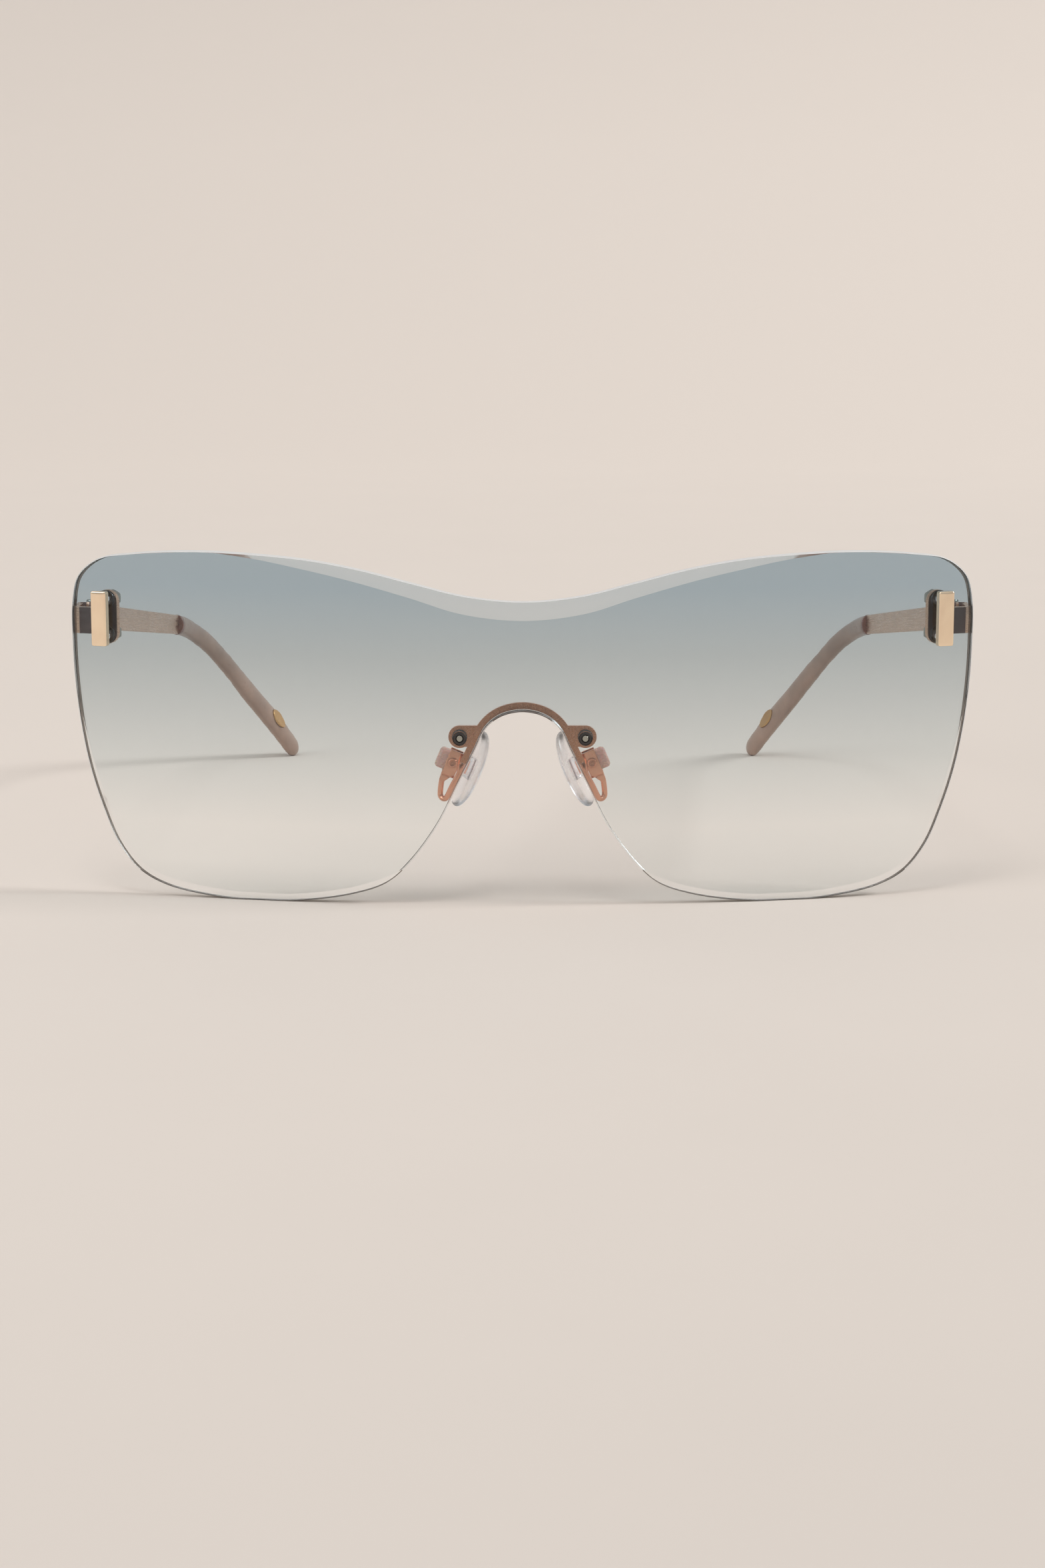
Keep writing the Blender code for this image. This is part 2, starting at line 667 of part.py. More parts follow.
def make_plate_fasteners(side):
    """For each stud a clear flanged bushing in the lens and a hexagon nut behind the back plate."""
    for level, height in (("upper", PLATE_Z + STUD_SPACING / 2), ("lower", PLATE_Z - STUD_SPACING / 2)):
        frame = lens_frame(PLATE_X, height)
        profile = bushing_profile(SLEEVE_RADIUS, SLEEVE_BORE, FLANGE_RADIUS, -FACE_GAP, -FLANGE_DEPTH)
        turned(side_name(f"{level}_plate_bushing", side), profile, "clear_nylon", frame, side)
        nut_radius = NUT_ACROSS_FLATS / 2 / math.cos(math.pi / NUT_SIDES)
        nut = cylinder(nut_radius, -NUT_DEPTH - NUT_HEIGHT, -NUT_DEPTH, NUT_SIDES)
        nut = add_part(side_name(f"{level}_plate_nut", side), nut, "bright_steel", frame, side)
        round_edges(nut, NUT_BEVEL)
        bore = cylinder(SLEEVE_BORE, -STUD_DEPTH - OVERRUN, 0.0, SMALL_SIDES)
        cut(nut, add_helper(side_name(f"{level}_nut_bore", side), bore, frame, side))


def bushing_profile(outer, bore, flange_radius, top, flange_top):
    """A sleeve from top down to its flange, which is clamped behind the lens."""
    bottom = flange_top - FLANGE_THICKNESS
    return (
        (outer, top),
        (outer, flange_top),
        (flange_radius, flange_top),
        (flange_radius, bottom),
        (bore, bottom),
        (bore, top),
    )


def make_endpiece(side):
    """The back plate, the strap that bends back beside the lens's edge, and two hinge knuckles."""
    name = side_name("endpiece", side)
    frame = lens_frame(PLATE_X, PLATE_Z, BACK_PLATE_DEPTH + BACK_PLATE_THICKNESS / 2)
    along = (frame.to_3x3() @ Vector((1.0, 0.0, 0.0))).xy
    start = frame.translation.xy + along * (BACK_PLATE_WIDTH / 2 - STRAP_OVERLAP)
    strap_x = STRAP_OUTER_X - STRAP_THICKNESS / 2
    corner = start + along * ((strap_x - start.x) / along.x)
    end = Vector((strap_x, HINGE_Y + OVERRUN))
    path = filleted(start, corner, end, STRAP_BEND_RADIUS, STRAP_BEND_STEPS)
    strap = sheet(ribbon(path, STRAP_THICKNESS), STRAP_HEIGHT)
    level = Matrix.Translation((0.0, 0.0, HINGE_Z))
    endpiece = add_part(name, strap, "gunmetal_plate", level, side)
    round_edges(endpiece, STRAP_BEVEL)
    beyond = block((-STRAP_HEIGHT, -FACE_GAP / 2, -STRAP_HEIGHT), (STRAP_HEIGHT, 2 * OVERRUN, STRAP_HEIGHT))
    cut(endpiece, add_helper(side_name("strap_end", side), beyond, HINGE_FRAME, side))
    plate = sheet(round_ended(BACK_PLATE_WIDTH, BACK_PLATE_HEIGHT), BACK_PLATE_THICKNESS)
    plate = add_helper(side_name("back_plate", side), plate, frame, side)
    round_edges(plate, STRAP_BEVEL)
    join(endpiece, plate)
    low = KNUCKLE_SPLIT + KNUCKLE_CLEARANCE
    for level, middle in (("upper", (low + KNUCKLE_TOP) / 2), ("lower", -(low + KNUCKLE_TOP) / 2)):
        knuckle = sheet(knuckle_outline(-1.0), KNUCKLE_TOP - low)
        place = HINGE_FRAME @ Matrix.Translation((0.0, 0.0, middle))
        join(endpiece, add_helper(side_name(f"{level}_knuckle", side), knuckle, place, side))
    for level, height in (("upper", STUD_SPACING / 2), ("lower", -STUD_SPACING / 2)):
        bore = cylinder(SLEEVE_BORE, -OVERRUN, OVERRUN, SMALL_SIDES, y=height)
        cut(endpiece, add_helper(side_name(f"{level}_stud_hole", side), bore, frame, side))
    bore = cylinder(HINGE_SCREW_RADIUS + FIT_GAP, -STRAP_HEIGHT, STRAP_HEIGHT)
    cut(endpiece, add_helper(side_name("hinge_bore", side), bore, HINGE_FRAME, side))


def knuckle_outline(direction):
    """A knuckle seen along its axis, with the web that ties it to the strap or bar beside it."""
    near = math.asin(FACE_GAP / KNUCKLE_RADIUS)
    far = math.asin(WEB_SHARE)
    sweep = math.tau - far + near
    points = [(BAR_MIDDLE, direction * KNUCKLE_RADIUS * WEB_SHARE), (BAR_MIDDLE, direction * FACE_GAP)]
    for k in range(ROUND_SIDES + 1):
        angle = near - sweep * k / ROUND_SIDES
        x, y = KNUCKLE_RADIUS * math.cos(angle), direction * KNUCKLE_RADIUS * math.sin(angle)
        points.append((x, y))
    return points


def round_ended(width, height):
    """The outline of an upright plate with half-round ends."""
    radius = width / 2
    points = []
    for centre, first in ((height / 2 - radius, 0.0), (radius - height / 2, math.pi)):
        for step in range(ROUND_END_STEPS + 1):
            angle = first + math.pi * step / ROUND_END_STEPS
            points.append((radius * math.cos(angle), centre + radius * math.sin(angle)))
    return points


def make_hinge_screw(side):
    """The pivot screw, its head on the upper knuckle."""
    top = KNUCKLE_TOP + FACE_GAP + HINGE_SCREW_HEAD_HEIGHT
    profile = screw_profile(
        HINGE_SCREW_HEAD_RADIUS, HINGE_SCREW_HEAD_HEIGHT, HINGE_SCREW_RADIUS, top, -KNUCKLE_TOP
    )
    screw = turned(side_name("hinge_screw", side), profile, "bright_steel", HINGE_FRAME, side)
    cut_slot(screw, top, HINGE_FRAME, side)


def screw_profile(head_radius, head_height, shank_radius, top, bottom):
    """A screw with a slightly domed head: the head's rim is chamfered by a third of its height."""
    chamfer = head_height / 3
    return (
        (0.0, top),
        (head_radius - chamfer, top),
        (head_radius, top - chamfer),
        (head_radius, top - head_height),
        (shank_radius, top - head_height),
        (shank_radius, bottom),
        (0.0, bottom),
    )


def cut_slot(screw, top, frame, side):
    low = (-OVERRUN, -SLOT_WIDTH / 2, top - SLOT_DEPTH)
    high = (OVERRUN, SLOT_WIDTH / 2, top + OVERRUN)
    cut(screw, add_helper(f"{screw.name}_slot", block(low, high), frame, side))


def hinge_empty(side):
    """The temple's pivot: an empty on the hinge axis, its Z along the screw."""
    empty = bpy.data.objects.new(side_name("temple_pivot", side), None)
    bpy.data.collections["sunglasses"].objects.link(empty)
    empty.empty_display_size = BAR_LENGTH / 10
    empty.matrix_world = HINGE_FRAME if side > 0 else MIRROR_X @ HINGE_FRAME @ MIRROR_X
    return empty


def make_temple(side, pivot):
    """The metal temple: a tapered bar with the middle knuckle, and the core wire inside the tip."""
    half = STRAP_THICKNESS / 2
    rings = []
    for along, middle, height in (
        (FACE_GAP, BAR_MIDDLE, STRAP_HEIGHT),
        (BAR_LENGTH - FACE_GAP, BAR_END_INSET, BAR_END_HEIGHT),
    ):
        corners = ((-half, -1), (half, -1), (half, 1), (-half, 1))
        rings.append([Vector((middle + x, along, z * height / 2)) for x, z in corners])
    temple = add_part(side_name("temple", side), loft(rings), "gunmetal_plate", HINGE_FRAME, side, pivot)
    round_edges(temple, BAR_BEVEL, BEVEL_STEPS)
    knuckle = sheet(knuckle_outline(1.0), MIDDLE_KNUCKLE_HEIGHT)
    join(temple, add_helper(side_name("middle_knuckle", side), knuckle, HINGE_FRAME, side, pivot))
    bore = cylinder(HINGE_SCREW_RADIUS + FIT_GAP, -STRAP_HEIGHT, STRAP_HEIGHT)
    cut(temple, add_helper(side_name("middle_bore", side), bore, HINGE_FRAME, side, pivot))
    core = wire(core_path(), CORE_RADIUS)
    join(temple, add_helper(side_name("core_wire", side), core, HINGE_FRAME, side, pivot))


def tip_path():
    """The middle line of the tip in the hinge frame, as evenly spaced points and the arc length."""
    points = []
    for reach, drop, inset in TIP_PATH_SHARES:
        x = BAR_END_INSET - inset * TIP_TOE_IN
        points.append(Vector((x, BAR_LENGTH + reach * TIP_REACH, -drop * TIP_DROP)))
    fine = smooth_curve(points, TIP_STATIONS)
    lengths = [0.0]
    for before, after in zip(fine, fine[1:]):
        lengths.append(lengths[-1] + (after - before).length)
    return fine, lengths


def on_tip(share):
    """The place and the direction at a share of the tip's length."""
    fine, lengths = tip_path()
    goal = share * lengths[-1]
    k = max(i for i, length in enumerate(lengths[:-1]) if length <= goal)
    blend = (goal - lengths[k]) / (lengths[k + 1] - lengths[k])
    near = fine[min(k + 2, len(fine) - 1)] - fine[max(k - 1, 0)]
    return fine[k].lerp(fine[k + 1], blend), near.normalized()


def tip_frame(share):
    """A frame on the tip's middle line: X across its width, Y up its height, Z along it."""
    place, along = on_tip(share)
    across = Vector((1.0, 0.0, 0.0))
    across = (across - along * across.dot(along)).normalized()
    return Matrix.Translation(place) @ Matrix((across, along.cross(across), along)).transposed().to_4x4()


def core_path():
    """The core wire's points, from inside the bar along the tip."""
    before = Vector((BAR_END_INSET, BAR_LENGTH - CORE_ROOT, 0.0))
    return [before, *(on_tip(CORE_SHARE * k / CORE_STATIONS)[0] for k in range(CORE_STATIONS + 1))]


def oval_ring(frame, height, width):
    ring = []
    for k in range(TIP_SIDES):
        angle = math.tau * k / TIP_SIDES
        ring.append(frame @ Vector((width / 2 * math.cos(angle), height / 2 * math.sin(angle), 0.0)))
    return ring


def make_temple_tip(side, pivot):
    """The plastic tip: an oval sleeve that bends down and in, and widens to a paddle."""
    frame, rings = HINGE_FRAME, []
    first = (COLLAR_LENGTH + 2 * FACE_GAP) / tip_path()[1][-1]
    for k in range(TIP_STATIONS + 1):
        share = first + (1.0 - first) * k / TIP_STATIONS
        rings.append(tip_ring(share, 1.0))
    for k in range(1, TIP_END_RINGS + 1):
        angle = TIP_END_TURN * k / TIP_END_RINGS
        rings.append(tip_ring(1.0, math.cos(angle), math.sin(angle)))
    tip = add_part(side_name("temple_tip", side), loft(rings), "taupe_acetate", frame, side, pivot)
    bore = wire([*core_path(), on_tip(CORE_BORE_SHARE)[0]], CORE_RADIUS + FIT_GAP)
    cut(tip, add_helper(side_name("core_bore", side), bore, frame, side, pivot))
    floor = block((0.0, HINGE_Y, -2 * OVERRUN), (STRAP_OUTER_X, 2 * TIP_END_ALONG, 0.0))
    cut(tip, add_helper(side_name("tip_floor_cut", side), floor, Matrix.Identity(4), side, pivot))
    recess = plaque_sheet(FIT_GAP, PLAQUE_DEPTH + OVERRUN)
    lift = Matrix.Translation((0.0, 0.0, (PLAQUE_DEPTH + OVERRUN) / 2 - PLAQUE_DEPTH))
    cut(tip, add_helper(side_name("plaque_recess", side), recess, frame @ plaque_frame() @ lift, side, pivot))


def tip_ring(share, scale, beyond=0.0):
    height, width = interpolate(TIP_SECTION_SHARES, share)
    frame = tip_frame(share) @ Matrix.Translation((0.0, 0.0, beyond * TIP_END_ROUND))
    return oval_ring(frame, height * scale * TIP_HEIGHT, width * scale * TIP_WIDTH)


def make_tip_collar(side, pivot):
    """A red-brown ring between the bar and the tip."""
    length = tip_path()[1][-1]
    ends = (FACE_GAP / length, (COLLAR_LENGTH + FACE_GAP) / length)
    bm = loft([oval_ring(tip_frame(share), COLLAR_HEIGHT, COLLAR_WIDTH) for share in ends])
    collar = add_part(side_name("tip_collar", side), bm, "red_brown_acetate", HINGE_FRAME, side, pivot)
    round_edges(collar, BAR_BEVEL / 2)
    bore = wire(core_path()[:3], CORE_RADIUS + FIT_GAP)
    cut(collar, add_helper(side_name("collar_bore", side), bore, HINGE_FRAME, side, pivot))


def plaque_frame():
    """A frame on the inner face of the tip: X along the tip, Z out of the face."""
    _, width = interpolate(TIP_SECTION_SHARES, PLAQUE_SHARE)
    turn = Matrix.Rotation(-math.pi / 2, 4, "Y")
    return tip_frame(PLAQUE_SHARE) @ Matrix.Translation((-width * TIP_WIDTH / 2, 0.0, 0.0)) @ turn


def plaque_sheet(margin, thickness):
    points = []
    for k in range(ROUND_SIDES):
        angle = math.tau * k / ROUND_SIDES
        x = (PLAQUE_LENGTH / 2 + margin) * math.cos(angle)
        points.append((x, (PLAQUE_HEIGHT / 2 + margin) * math.sin(angle)))
    return sheet(points, thickness)


def make_tip_plaque(side, pivot):
    """A bare oval plate let into the tip's inner face."""
    middle = PLAQUE_THICKNESS / 2 - PLAQUE_DEPTH + FACE_GAP
    frame = HINGE_FRAME @ plaque_frame() @ Matrix.Translation((0.0, 0.0, middle))
    bm = plaque_sheet(0.0, PLAQUE_THICKNESS)
    plaque = add_part(side_name("tip_plaque", side), bm, "polished_gold_plate", frame, side, pivot)
    round_edges(plaque, NUT_BEVEL)


def make_bracket():
    """The bridge bracket: a band round the nose edge that ends in two legs, with a screw ear on each side."""
    offset = BRACKET_SETBACK + BRACKET_BAND / 2
    right = offset_path(nose_edge(), offset)
    path = right[:-1] + [Vector((-p.x, p.y)) for p in right[::-1]]
    upright = Matrix.Rotation(math.pi / 2, 4, "X")
    middle = Matrix.Translation((0.0, (BRACKET_FRONT + BRACKET_BACK) / 2, 0.0)) @ upright
    band = sheet(ribbon(path, BRACKET_BAND), BRACKET_THICKNESS)
    bracket = add_part("bridge_bracket", band, "rose_gold_plate", middle)
    for side in (1, -1):
        ear = cylinder(EAR_RADIUS, -BRACKET_BACK, -BRACKET_FRONT)
        join(bracket, add_helper(side_name("ear", side), ear, ear_frame(), side))
        low, high = EAR_Z - EAR_WEB_SHARE * EAR_RADIUS, EAR_Z + EAR_RADIUS
        outline = (
            (EAR_X, low),
            (EAR_X, high),
            (right_at(right, high).x, high),
            (right_at(right, low).x, low),
        )
        web = sheet(outline, BRACKET_THICKNESS)
        join(bracket, add_helper(side_name("ear_web", side), web, middle, side))
        bore = cylinder(BRIDGE_SHANK_RADIUS + FIT_GAP, -BRACKET_BACK - OVERRUN, OVERRUN)
        cut(bracket, add_helper(side_name("ear_bore", side), bore, ear_frame(), side))
    return bracket


def offset_path(points, distance):
    """The path moved sideways, away from the nose opening, its last point kept on the middle plane."""
    moved = []
    for i, point in enumerate(points):
        along = points[min(i + 1, len(points) - 1)] - points[max(i - 1, 0)]
        if i == len(points) - 1:
            along = Vector((-1.0, 0.0))
        moved.append(point + Vector((along.y, -along.x)).normalized() * distance)
    return moved


def make_bridge_fasteners(side):
    """A dark flanged bushing in the lens and a slotted screw through the ear from behind."""
    top = -lens_depth(EAR_X) - FACE_GAP
    bore = BRIDGE_SHANK_RADIUS + FIT_GAP
    profile = bushing_profile(BRIDGE_SLEEVE_RADIUS, bore, BRIDGE_FLANGE_RADIUS, top, -BRIDGE_FLANGE_Y)
    turned(side_name("bridge_bushing", side), profile, "dark_nylon", ear_frame(), side)
    head_top = BRACKET_BACK + FACE_GAP + BRIDGE_HEAD_HEIGHT
    backward = ear_frame() @ Matrix.Rotation(math.pi, 4, "X")
    profile = screw_profile(BRIDGE_HEAD_RADIUS, BRIDGE_HEAD_HEIGHT, BRIDGE_SHANK_RADIUS, head_top, -top)
    screw = turned(side_name("bridge_screw", side), profile, "bright_steel", backward, side)
    cut_slot(screw, head_top, backward, side)


def make_pad_arm(side):
    """A wire that drops from the bracket's leg, turns up, and carries a folded clip for the pad."""
    cheek = (CHEEK_INNER + CHEEK_OUTER) / 2
    fold = -CLIP_BELOW + CLIP_THICKNESS / 2
    top, corner, middle = Vector((-cheek, CLIP_ABOVE)), Vector((-cheek, fold)), Vector((0.0, fold))
    front = filleted(top, corner, middle, CLIP_BEND_RADIUS, CLIP_BEND_STEPS)
    path = front[:-1] + [Vector((-p.x, p.y)) for p in front[-2::-1]]
    turn = Matrix.Rotation(math.pi / 2, 4, "Z") @ Matrix.Rotation(math.pi / 2, 4, "X")
    clip = sheet(ribbon(path, CLIP_THICKNESS), CLIP_WIDTH)
    arm = add_part(side_name("pad_arm", side), clip, "rose_gold_plate", CLIP_FRAME @ turn, side)
    round_edges(arm, CLIP_BEVEL)
    bore = cylinder(PAD_SCREW_RADIUS + FIT_GAP, -OVERRUN - CHEEK_OUTER, CHEEK_OUTER + OVERRUN, SMALL_SIDES)
    cut(arm, add_helper(side_name("clip_bore", side), bore, pad_screw_frame(), side))
    bent = wire(arm_path(), WIRE_RADIUS)
    join(arm, add_helper(side_name("arm_wire", side), bent, Matrix.Identity(4), side))


def arm_path():
    """The wire's middle line, from just under the bracket's leg to inside the clip's fold."""
    leg, above = offset_path(nose_edge(), BRACKET_SETBACK + BRACKET_BAND / 2)[:2]
    down = (leg - above).normalized()
    points = []
    for gap in (FACE_GAP, FACE_GAP + WIRE_RADIUS):
        place = leg + down * gap
        points.append(Vector((place.x, (BRACKET_FRONT + BRACKET_BACK) / 2, place.y)))
    screw = Vector((PAD_SCREW_X, PAD_SCREW_Y, PAD_SCREW_Z))
    points += [screw + Vector(shares) * CLIP_HEIGHT for shares in WIRE_DOWN_SHARES]
    centre = screw + Vector(WIRE_BEND_SHARES) * CLIP_HEIGHT
    outward = Vector((math.cos(WIRE_BEND_YAW), math.sin(WIRE_BEND_YAW), 0.0)) * WIRE_BEND_RADIUS
    downward = Vector((0.0, 0.0, -WIRE_BEND_RADIUS))
    for k in range(WIRE_BEND_POINTS):
        angle = WIRE_BEND_START + (math.pi - WIRE_BEND_START) * k / (WIRE_BEND_POINTS - 1)
        points.append(centre - outward * math.cos(angle) + downward * math.sin(angle))
    for height in (-CLIP_BELOW - WIRE_BEND_RADIUS, -CLIP_BELOW + WIRE_SINK):
        points.append(CLIP_FRAME @ Vector((CLIP_WIDTH * WIRE_FOOT_SHARE, 0.0, height)))
    return smooth_curve(points, WIRE_STEPS)


def pad_screw_frame():
    """The pad screw's axis: Z out of the front."""
    return CLIP_FRAME @ Matrix.Rotation(math.pi / 2, 4, "X")


def make_pad_screw(side):
    """The small screw through the clip and the pad's lug."""
    top = CHEEK_OUTER + FACE_GAP + PAD_SCREW_HEAD_HEIGHT
    profile = screw_profile(PAD_SCREW_HEAD_RADIUS, PAD_SCREW_HEAD_HEIGHT, PAD_SCREW_RADIUS, top, -CHEEK_OUTER)
    name = side_name("pad_screw", side)
    screw = turned(name, profile, "rose_gold_plate", pad_screw_frame(), side, sides=SMALL_SIDES)
    cut_slot(screw, top, pad_screw_frame(), side)


def pad_empty(side):
    """The pad's pivot: an empty on the pad screw's axis."""
    empty = bpy.data.objects.new(side_name("nose_pad_pivot", side), None)
    bpy.data.collections["sunglasses"].objects.link(empty)
    empty.empty_display_size = PAD_LENGTH / 4
    empty.matrix_world = CLIP_FRAME if side > 0 else MIRROR_X @ CLIP_FRAME @ MIRROR_X
    return empty


def lug_block(margin):
    half = LUG_THICKNESS / 2
    low = (-LUG_INNER, -half - margin, -LUG_HEIGHT / 2 - margin)
    return block(low, (LUG_REACH, half + margin, LUG_HEIGHT / 2 + margin))


def lug_foot_block(margin):
    """The lug's foot in its own frame: X toward the nose, Y across the pad, Z along it."""
    across, along = LUG_FOOT_WIDTH / 2 + margin, LUG_FOOT_LENGTH / 2 + margin
    return block((-margin, -across, -along), (LUG_FOOT_THICKNESS + margin, across, along))


def make_pad_lug(side, pivot):
    """The hard core of the pad: a tab between the clip's cheeks and a foot buried in the pad."""
    lug = add_part(side_name("pad_lug", side), lug_block(0.0), "pink_polycarbonate", CLIP_FRAME, side, pivot)
    round_edges(lug, LUG_BEVEL, BEVEL_STEPS)
    foot = lug_foot_block(0.0)
    join(lug, add_helper(side_name("lug_foot", side), foot, LUG_FOOT_FRAME, side, pivot))
    bore = cylinder(PAD_SCREW_RADIUS + FIT_GAP, -OVERRUN, OVERRUN, SMALL_SIDES)
    cut(lug, add_helper(side_name("lug_bore", side), bore, pad_screw_frame(), side, pivot))


def make_nose_pad(side, pivot):
    """The soft pad: a domed drop shape, flatter behind, moulded round the lug's foot."""
    bm = bmesh.new()
    bmesh.ops.create_uvsphere(bm, u_segments=ROUND_SIDES, v_segments=SMALL_SIDES, radius=1.0)
    for vert in bm.verts:
        across = math.copysign(abs(vert.co.y) ** PAD_SQUARENESS, vert.co.y)
        along = math.copysign(abs(vert.co.z) ** PAD_SQUARENESS, vert.co.z)
        thick = PAD_DOME if vert.co.x > 0 else PAD_BACK
        vert.co = (vert.co.x * thick, across * PAD_WIDTH / 2, along * PAD_LENGTH / 2)
    pad = add_part(side_name("nose_pad", side), bm, "clear_silicone", PAD_FRAME, side, pivot)
    pocket = lug_foot_block(FIT_GAP)
    cut(pad, add_helper(side_name("foot_pocket", side), pocket, LUG_FOOT_FRAME, side, pivot))
    slot = lug_block(FIT_GAP)
    cut(pad, add_helper(side_name("tab_pocket", side), slot, CLIP_FRAME, side, pivot))


def centre_on_origin():
    """Moves the whole pair so that the middle of its depth lies over the origin."""
    bpy.context.view_layer.update()
    graph = bpy.context.evaluated_depsgraph_get()
    depths = []
    for obj in bpy.data.collections["sunglasses"].objects:
        if obj.type == "MESH":
            solid = obj.evaluated_get(graph)
            depths += [(solid.matrix_world @ vert.co).y for vert in solid.data.vertices]
    root = bpy.data.objects.new("sunglasses", None)
    bpy.data.collections["sunglasses"].objects.link(root)
    for obj in [*bpy.data.collections["sunglasses"].objects, *bpy.data.collections["cutters"].objects]:
        if obj is not root and obj.parent is None:
            obj.parent = root
    root.location.y = -(min(depths) + max(depths)) / 2


def main():
    for obj in list(bpy.data.objects):
        bpy.data.objects.remove(obj)
    make_collection("sunglasses")
    make_collection("cutters")
    make_lens()
    make_bracket()
    for side in (1, -1):
        make_front_plate(side)
        make_plate_fasteners(side)
        make_endpiece(side)
        make_hinge_screw(side)
        make_bridge_fasteners(side)
        make_pad_arm(side)
        make_pad_screw(side)
        pad_pivot = pad_empty(side)
        make_pad_lug(side, pad_pivot)
        make_nose_pad(side, pad_pivot)
        temple_pivot = hinge_empty(side)
        make_temple(side, temple_pivot)
        make_tip_collar(side, temple_pivot)
        make_temple_tip(side, temple_pivot)
        make_tip_plaque(side, temple_pivot)
    centre_on_origin()


main()
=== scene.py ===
"""Finishes a pair of rimless shield sunglasses: one operator for each kind of piece and one for the stage.

The front faces -Y and +Z is up. Left and right are as seen from the front, so side 1 is right, at +X.
Lengths are in metres unless a name says millimetres.
"""

import json
import math

import bmesh
import bpy
from bpy.props import FloatProperty, FloatVectorProperty, PointerProperty
from mathutils import Matrix, Vector

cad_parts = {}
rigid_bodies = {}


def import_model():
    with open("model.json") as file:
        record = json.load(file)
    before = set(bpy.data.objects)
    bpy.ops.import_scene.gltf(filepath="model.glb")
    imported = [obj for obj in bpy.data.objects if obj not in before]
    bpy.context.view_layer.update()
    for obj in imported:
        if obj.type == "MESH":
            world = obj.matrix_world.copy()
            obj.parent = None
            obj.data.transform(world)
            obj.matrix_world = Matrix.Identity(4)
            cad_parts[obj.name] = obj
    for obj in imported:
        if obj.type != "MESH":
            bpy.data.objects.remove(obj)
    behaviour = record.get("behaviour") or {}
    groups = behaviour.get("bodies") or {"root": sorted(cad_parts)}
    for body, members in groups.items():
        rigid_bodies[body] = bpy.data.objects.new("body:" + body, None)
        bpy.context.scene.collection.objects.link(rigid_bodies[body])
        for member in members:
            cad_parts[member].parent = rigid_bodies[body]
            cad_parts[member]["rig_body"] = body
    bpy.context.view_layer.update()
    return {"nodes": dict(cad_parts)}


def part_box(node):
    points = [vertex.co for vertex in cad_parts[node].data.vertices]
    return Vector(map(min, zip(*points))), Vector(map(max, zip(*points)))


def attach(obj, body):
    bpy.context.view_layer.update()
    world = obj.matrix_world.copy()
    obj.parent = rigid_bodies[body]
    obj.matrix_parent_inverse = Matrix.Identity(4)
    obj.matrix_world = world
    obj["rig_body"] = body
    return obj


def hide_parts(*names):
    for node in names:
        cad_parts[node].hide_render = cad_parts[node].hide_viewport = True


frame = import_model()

bl_info = {
    "name": "Rimless Shield Sunglasses",
    "version": (1, 0, 0),
    "blender": (4, 5, 0),
    "location": "View3D > Sidebar > Eyewear",
    "description": "Adds each finished piece of a pair of rimless shield sunglasses",
    "category": "Object",
}

SIDES = {1: "right", -1: "left"}
MM = 0.001

# The lens, in its own frame: the front apex at y = 0
APEX_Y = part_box("shield_lens")[0].y
LENS_HALF_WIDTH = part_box("shield_lens")[1].x
LENS_HEIGHT = 0.0554
LENS_THICKNESS = 0.0020
LENS_RADIUS = 0.2200
LENS_FOOT_DEPTH = 0.0001
LENS_EDGE_BEVEL = 0.00025
SEAM_WIDTH = 0.00015
SEAM_SLOPE = 0.6
FACET_WIDTH = 0.0029
FACET_SLOPE = 0.30
# How far forward the normals of the dyed faces, the facets and the seamed corner point at least
DYED_FACING = 0.999
FACET_FACING = 0.9
CORNER_FACING = 0.1
# How far up the normals of the top edge point at least, and those of the under edge at most. With them the
# edge is painted by which way each face points: a white painted highlight or a dark painted shade
TOP_FACING = 0.7
UNDER_FACING = -0.4
LENS_SMOOTH_ANGLE = math.radians(12.0)
BEND_STEP = 0.0010
RIM_STEPS = 8
NOSE_START = 25

# Half of the rim from the brow's centre round to the nose's centre: share of the half width, share of
# the height, and share of the facet's full width
RIM_SHARES = (
    (0.000, 0.868, 1.00),
    (0.126, 0.883, 0.95),
    (0.236, 0.917, 0.78),
    (0.362, 0.957, 0.68),
    (0.476, 0.982, 0.52),
    (0.594, 0.995, 0.22),
    (0.727, 1.000, 0.00),
    (0.863, 0.989, 0.00),
    (0.936, 0.972, 0.00),
    (0.984, 0.920, 0.00),
    (0.999, 0.840, 0.00),
    (1.000, 0.740, 0.00),
    (0.997, 0.633, 0.04),
    (0.985, 0.488, 0.26),
    (0.966, 0.363, 0.38),
    (0.937, 0.246, 0.42),
    (0.9035, 0.147, 0.45),
    (0.857, 0.074, 0.50),
    (0.797, 0.034, 0.52),
    (0.699, 0.009, 0.50),
    (0.594, 0.000, 0.45),
    (0.476, 0.007, 0.42),
    (0.371, 0.030, 0.40),
    (0.302, 0.062, 0.34),
    (0.252, 0.118, 0.00),
    (0.187, 0.232, 0.00),
    (0.140, 0.354, 0.00),
    (0.105, 0.445, 0.00),
    (0.079, 0.512, 0.00),
    (0.046, 0.545, 0.00),
    (0.000, 0.5575, 0.00),
)

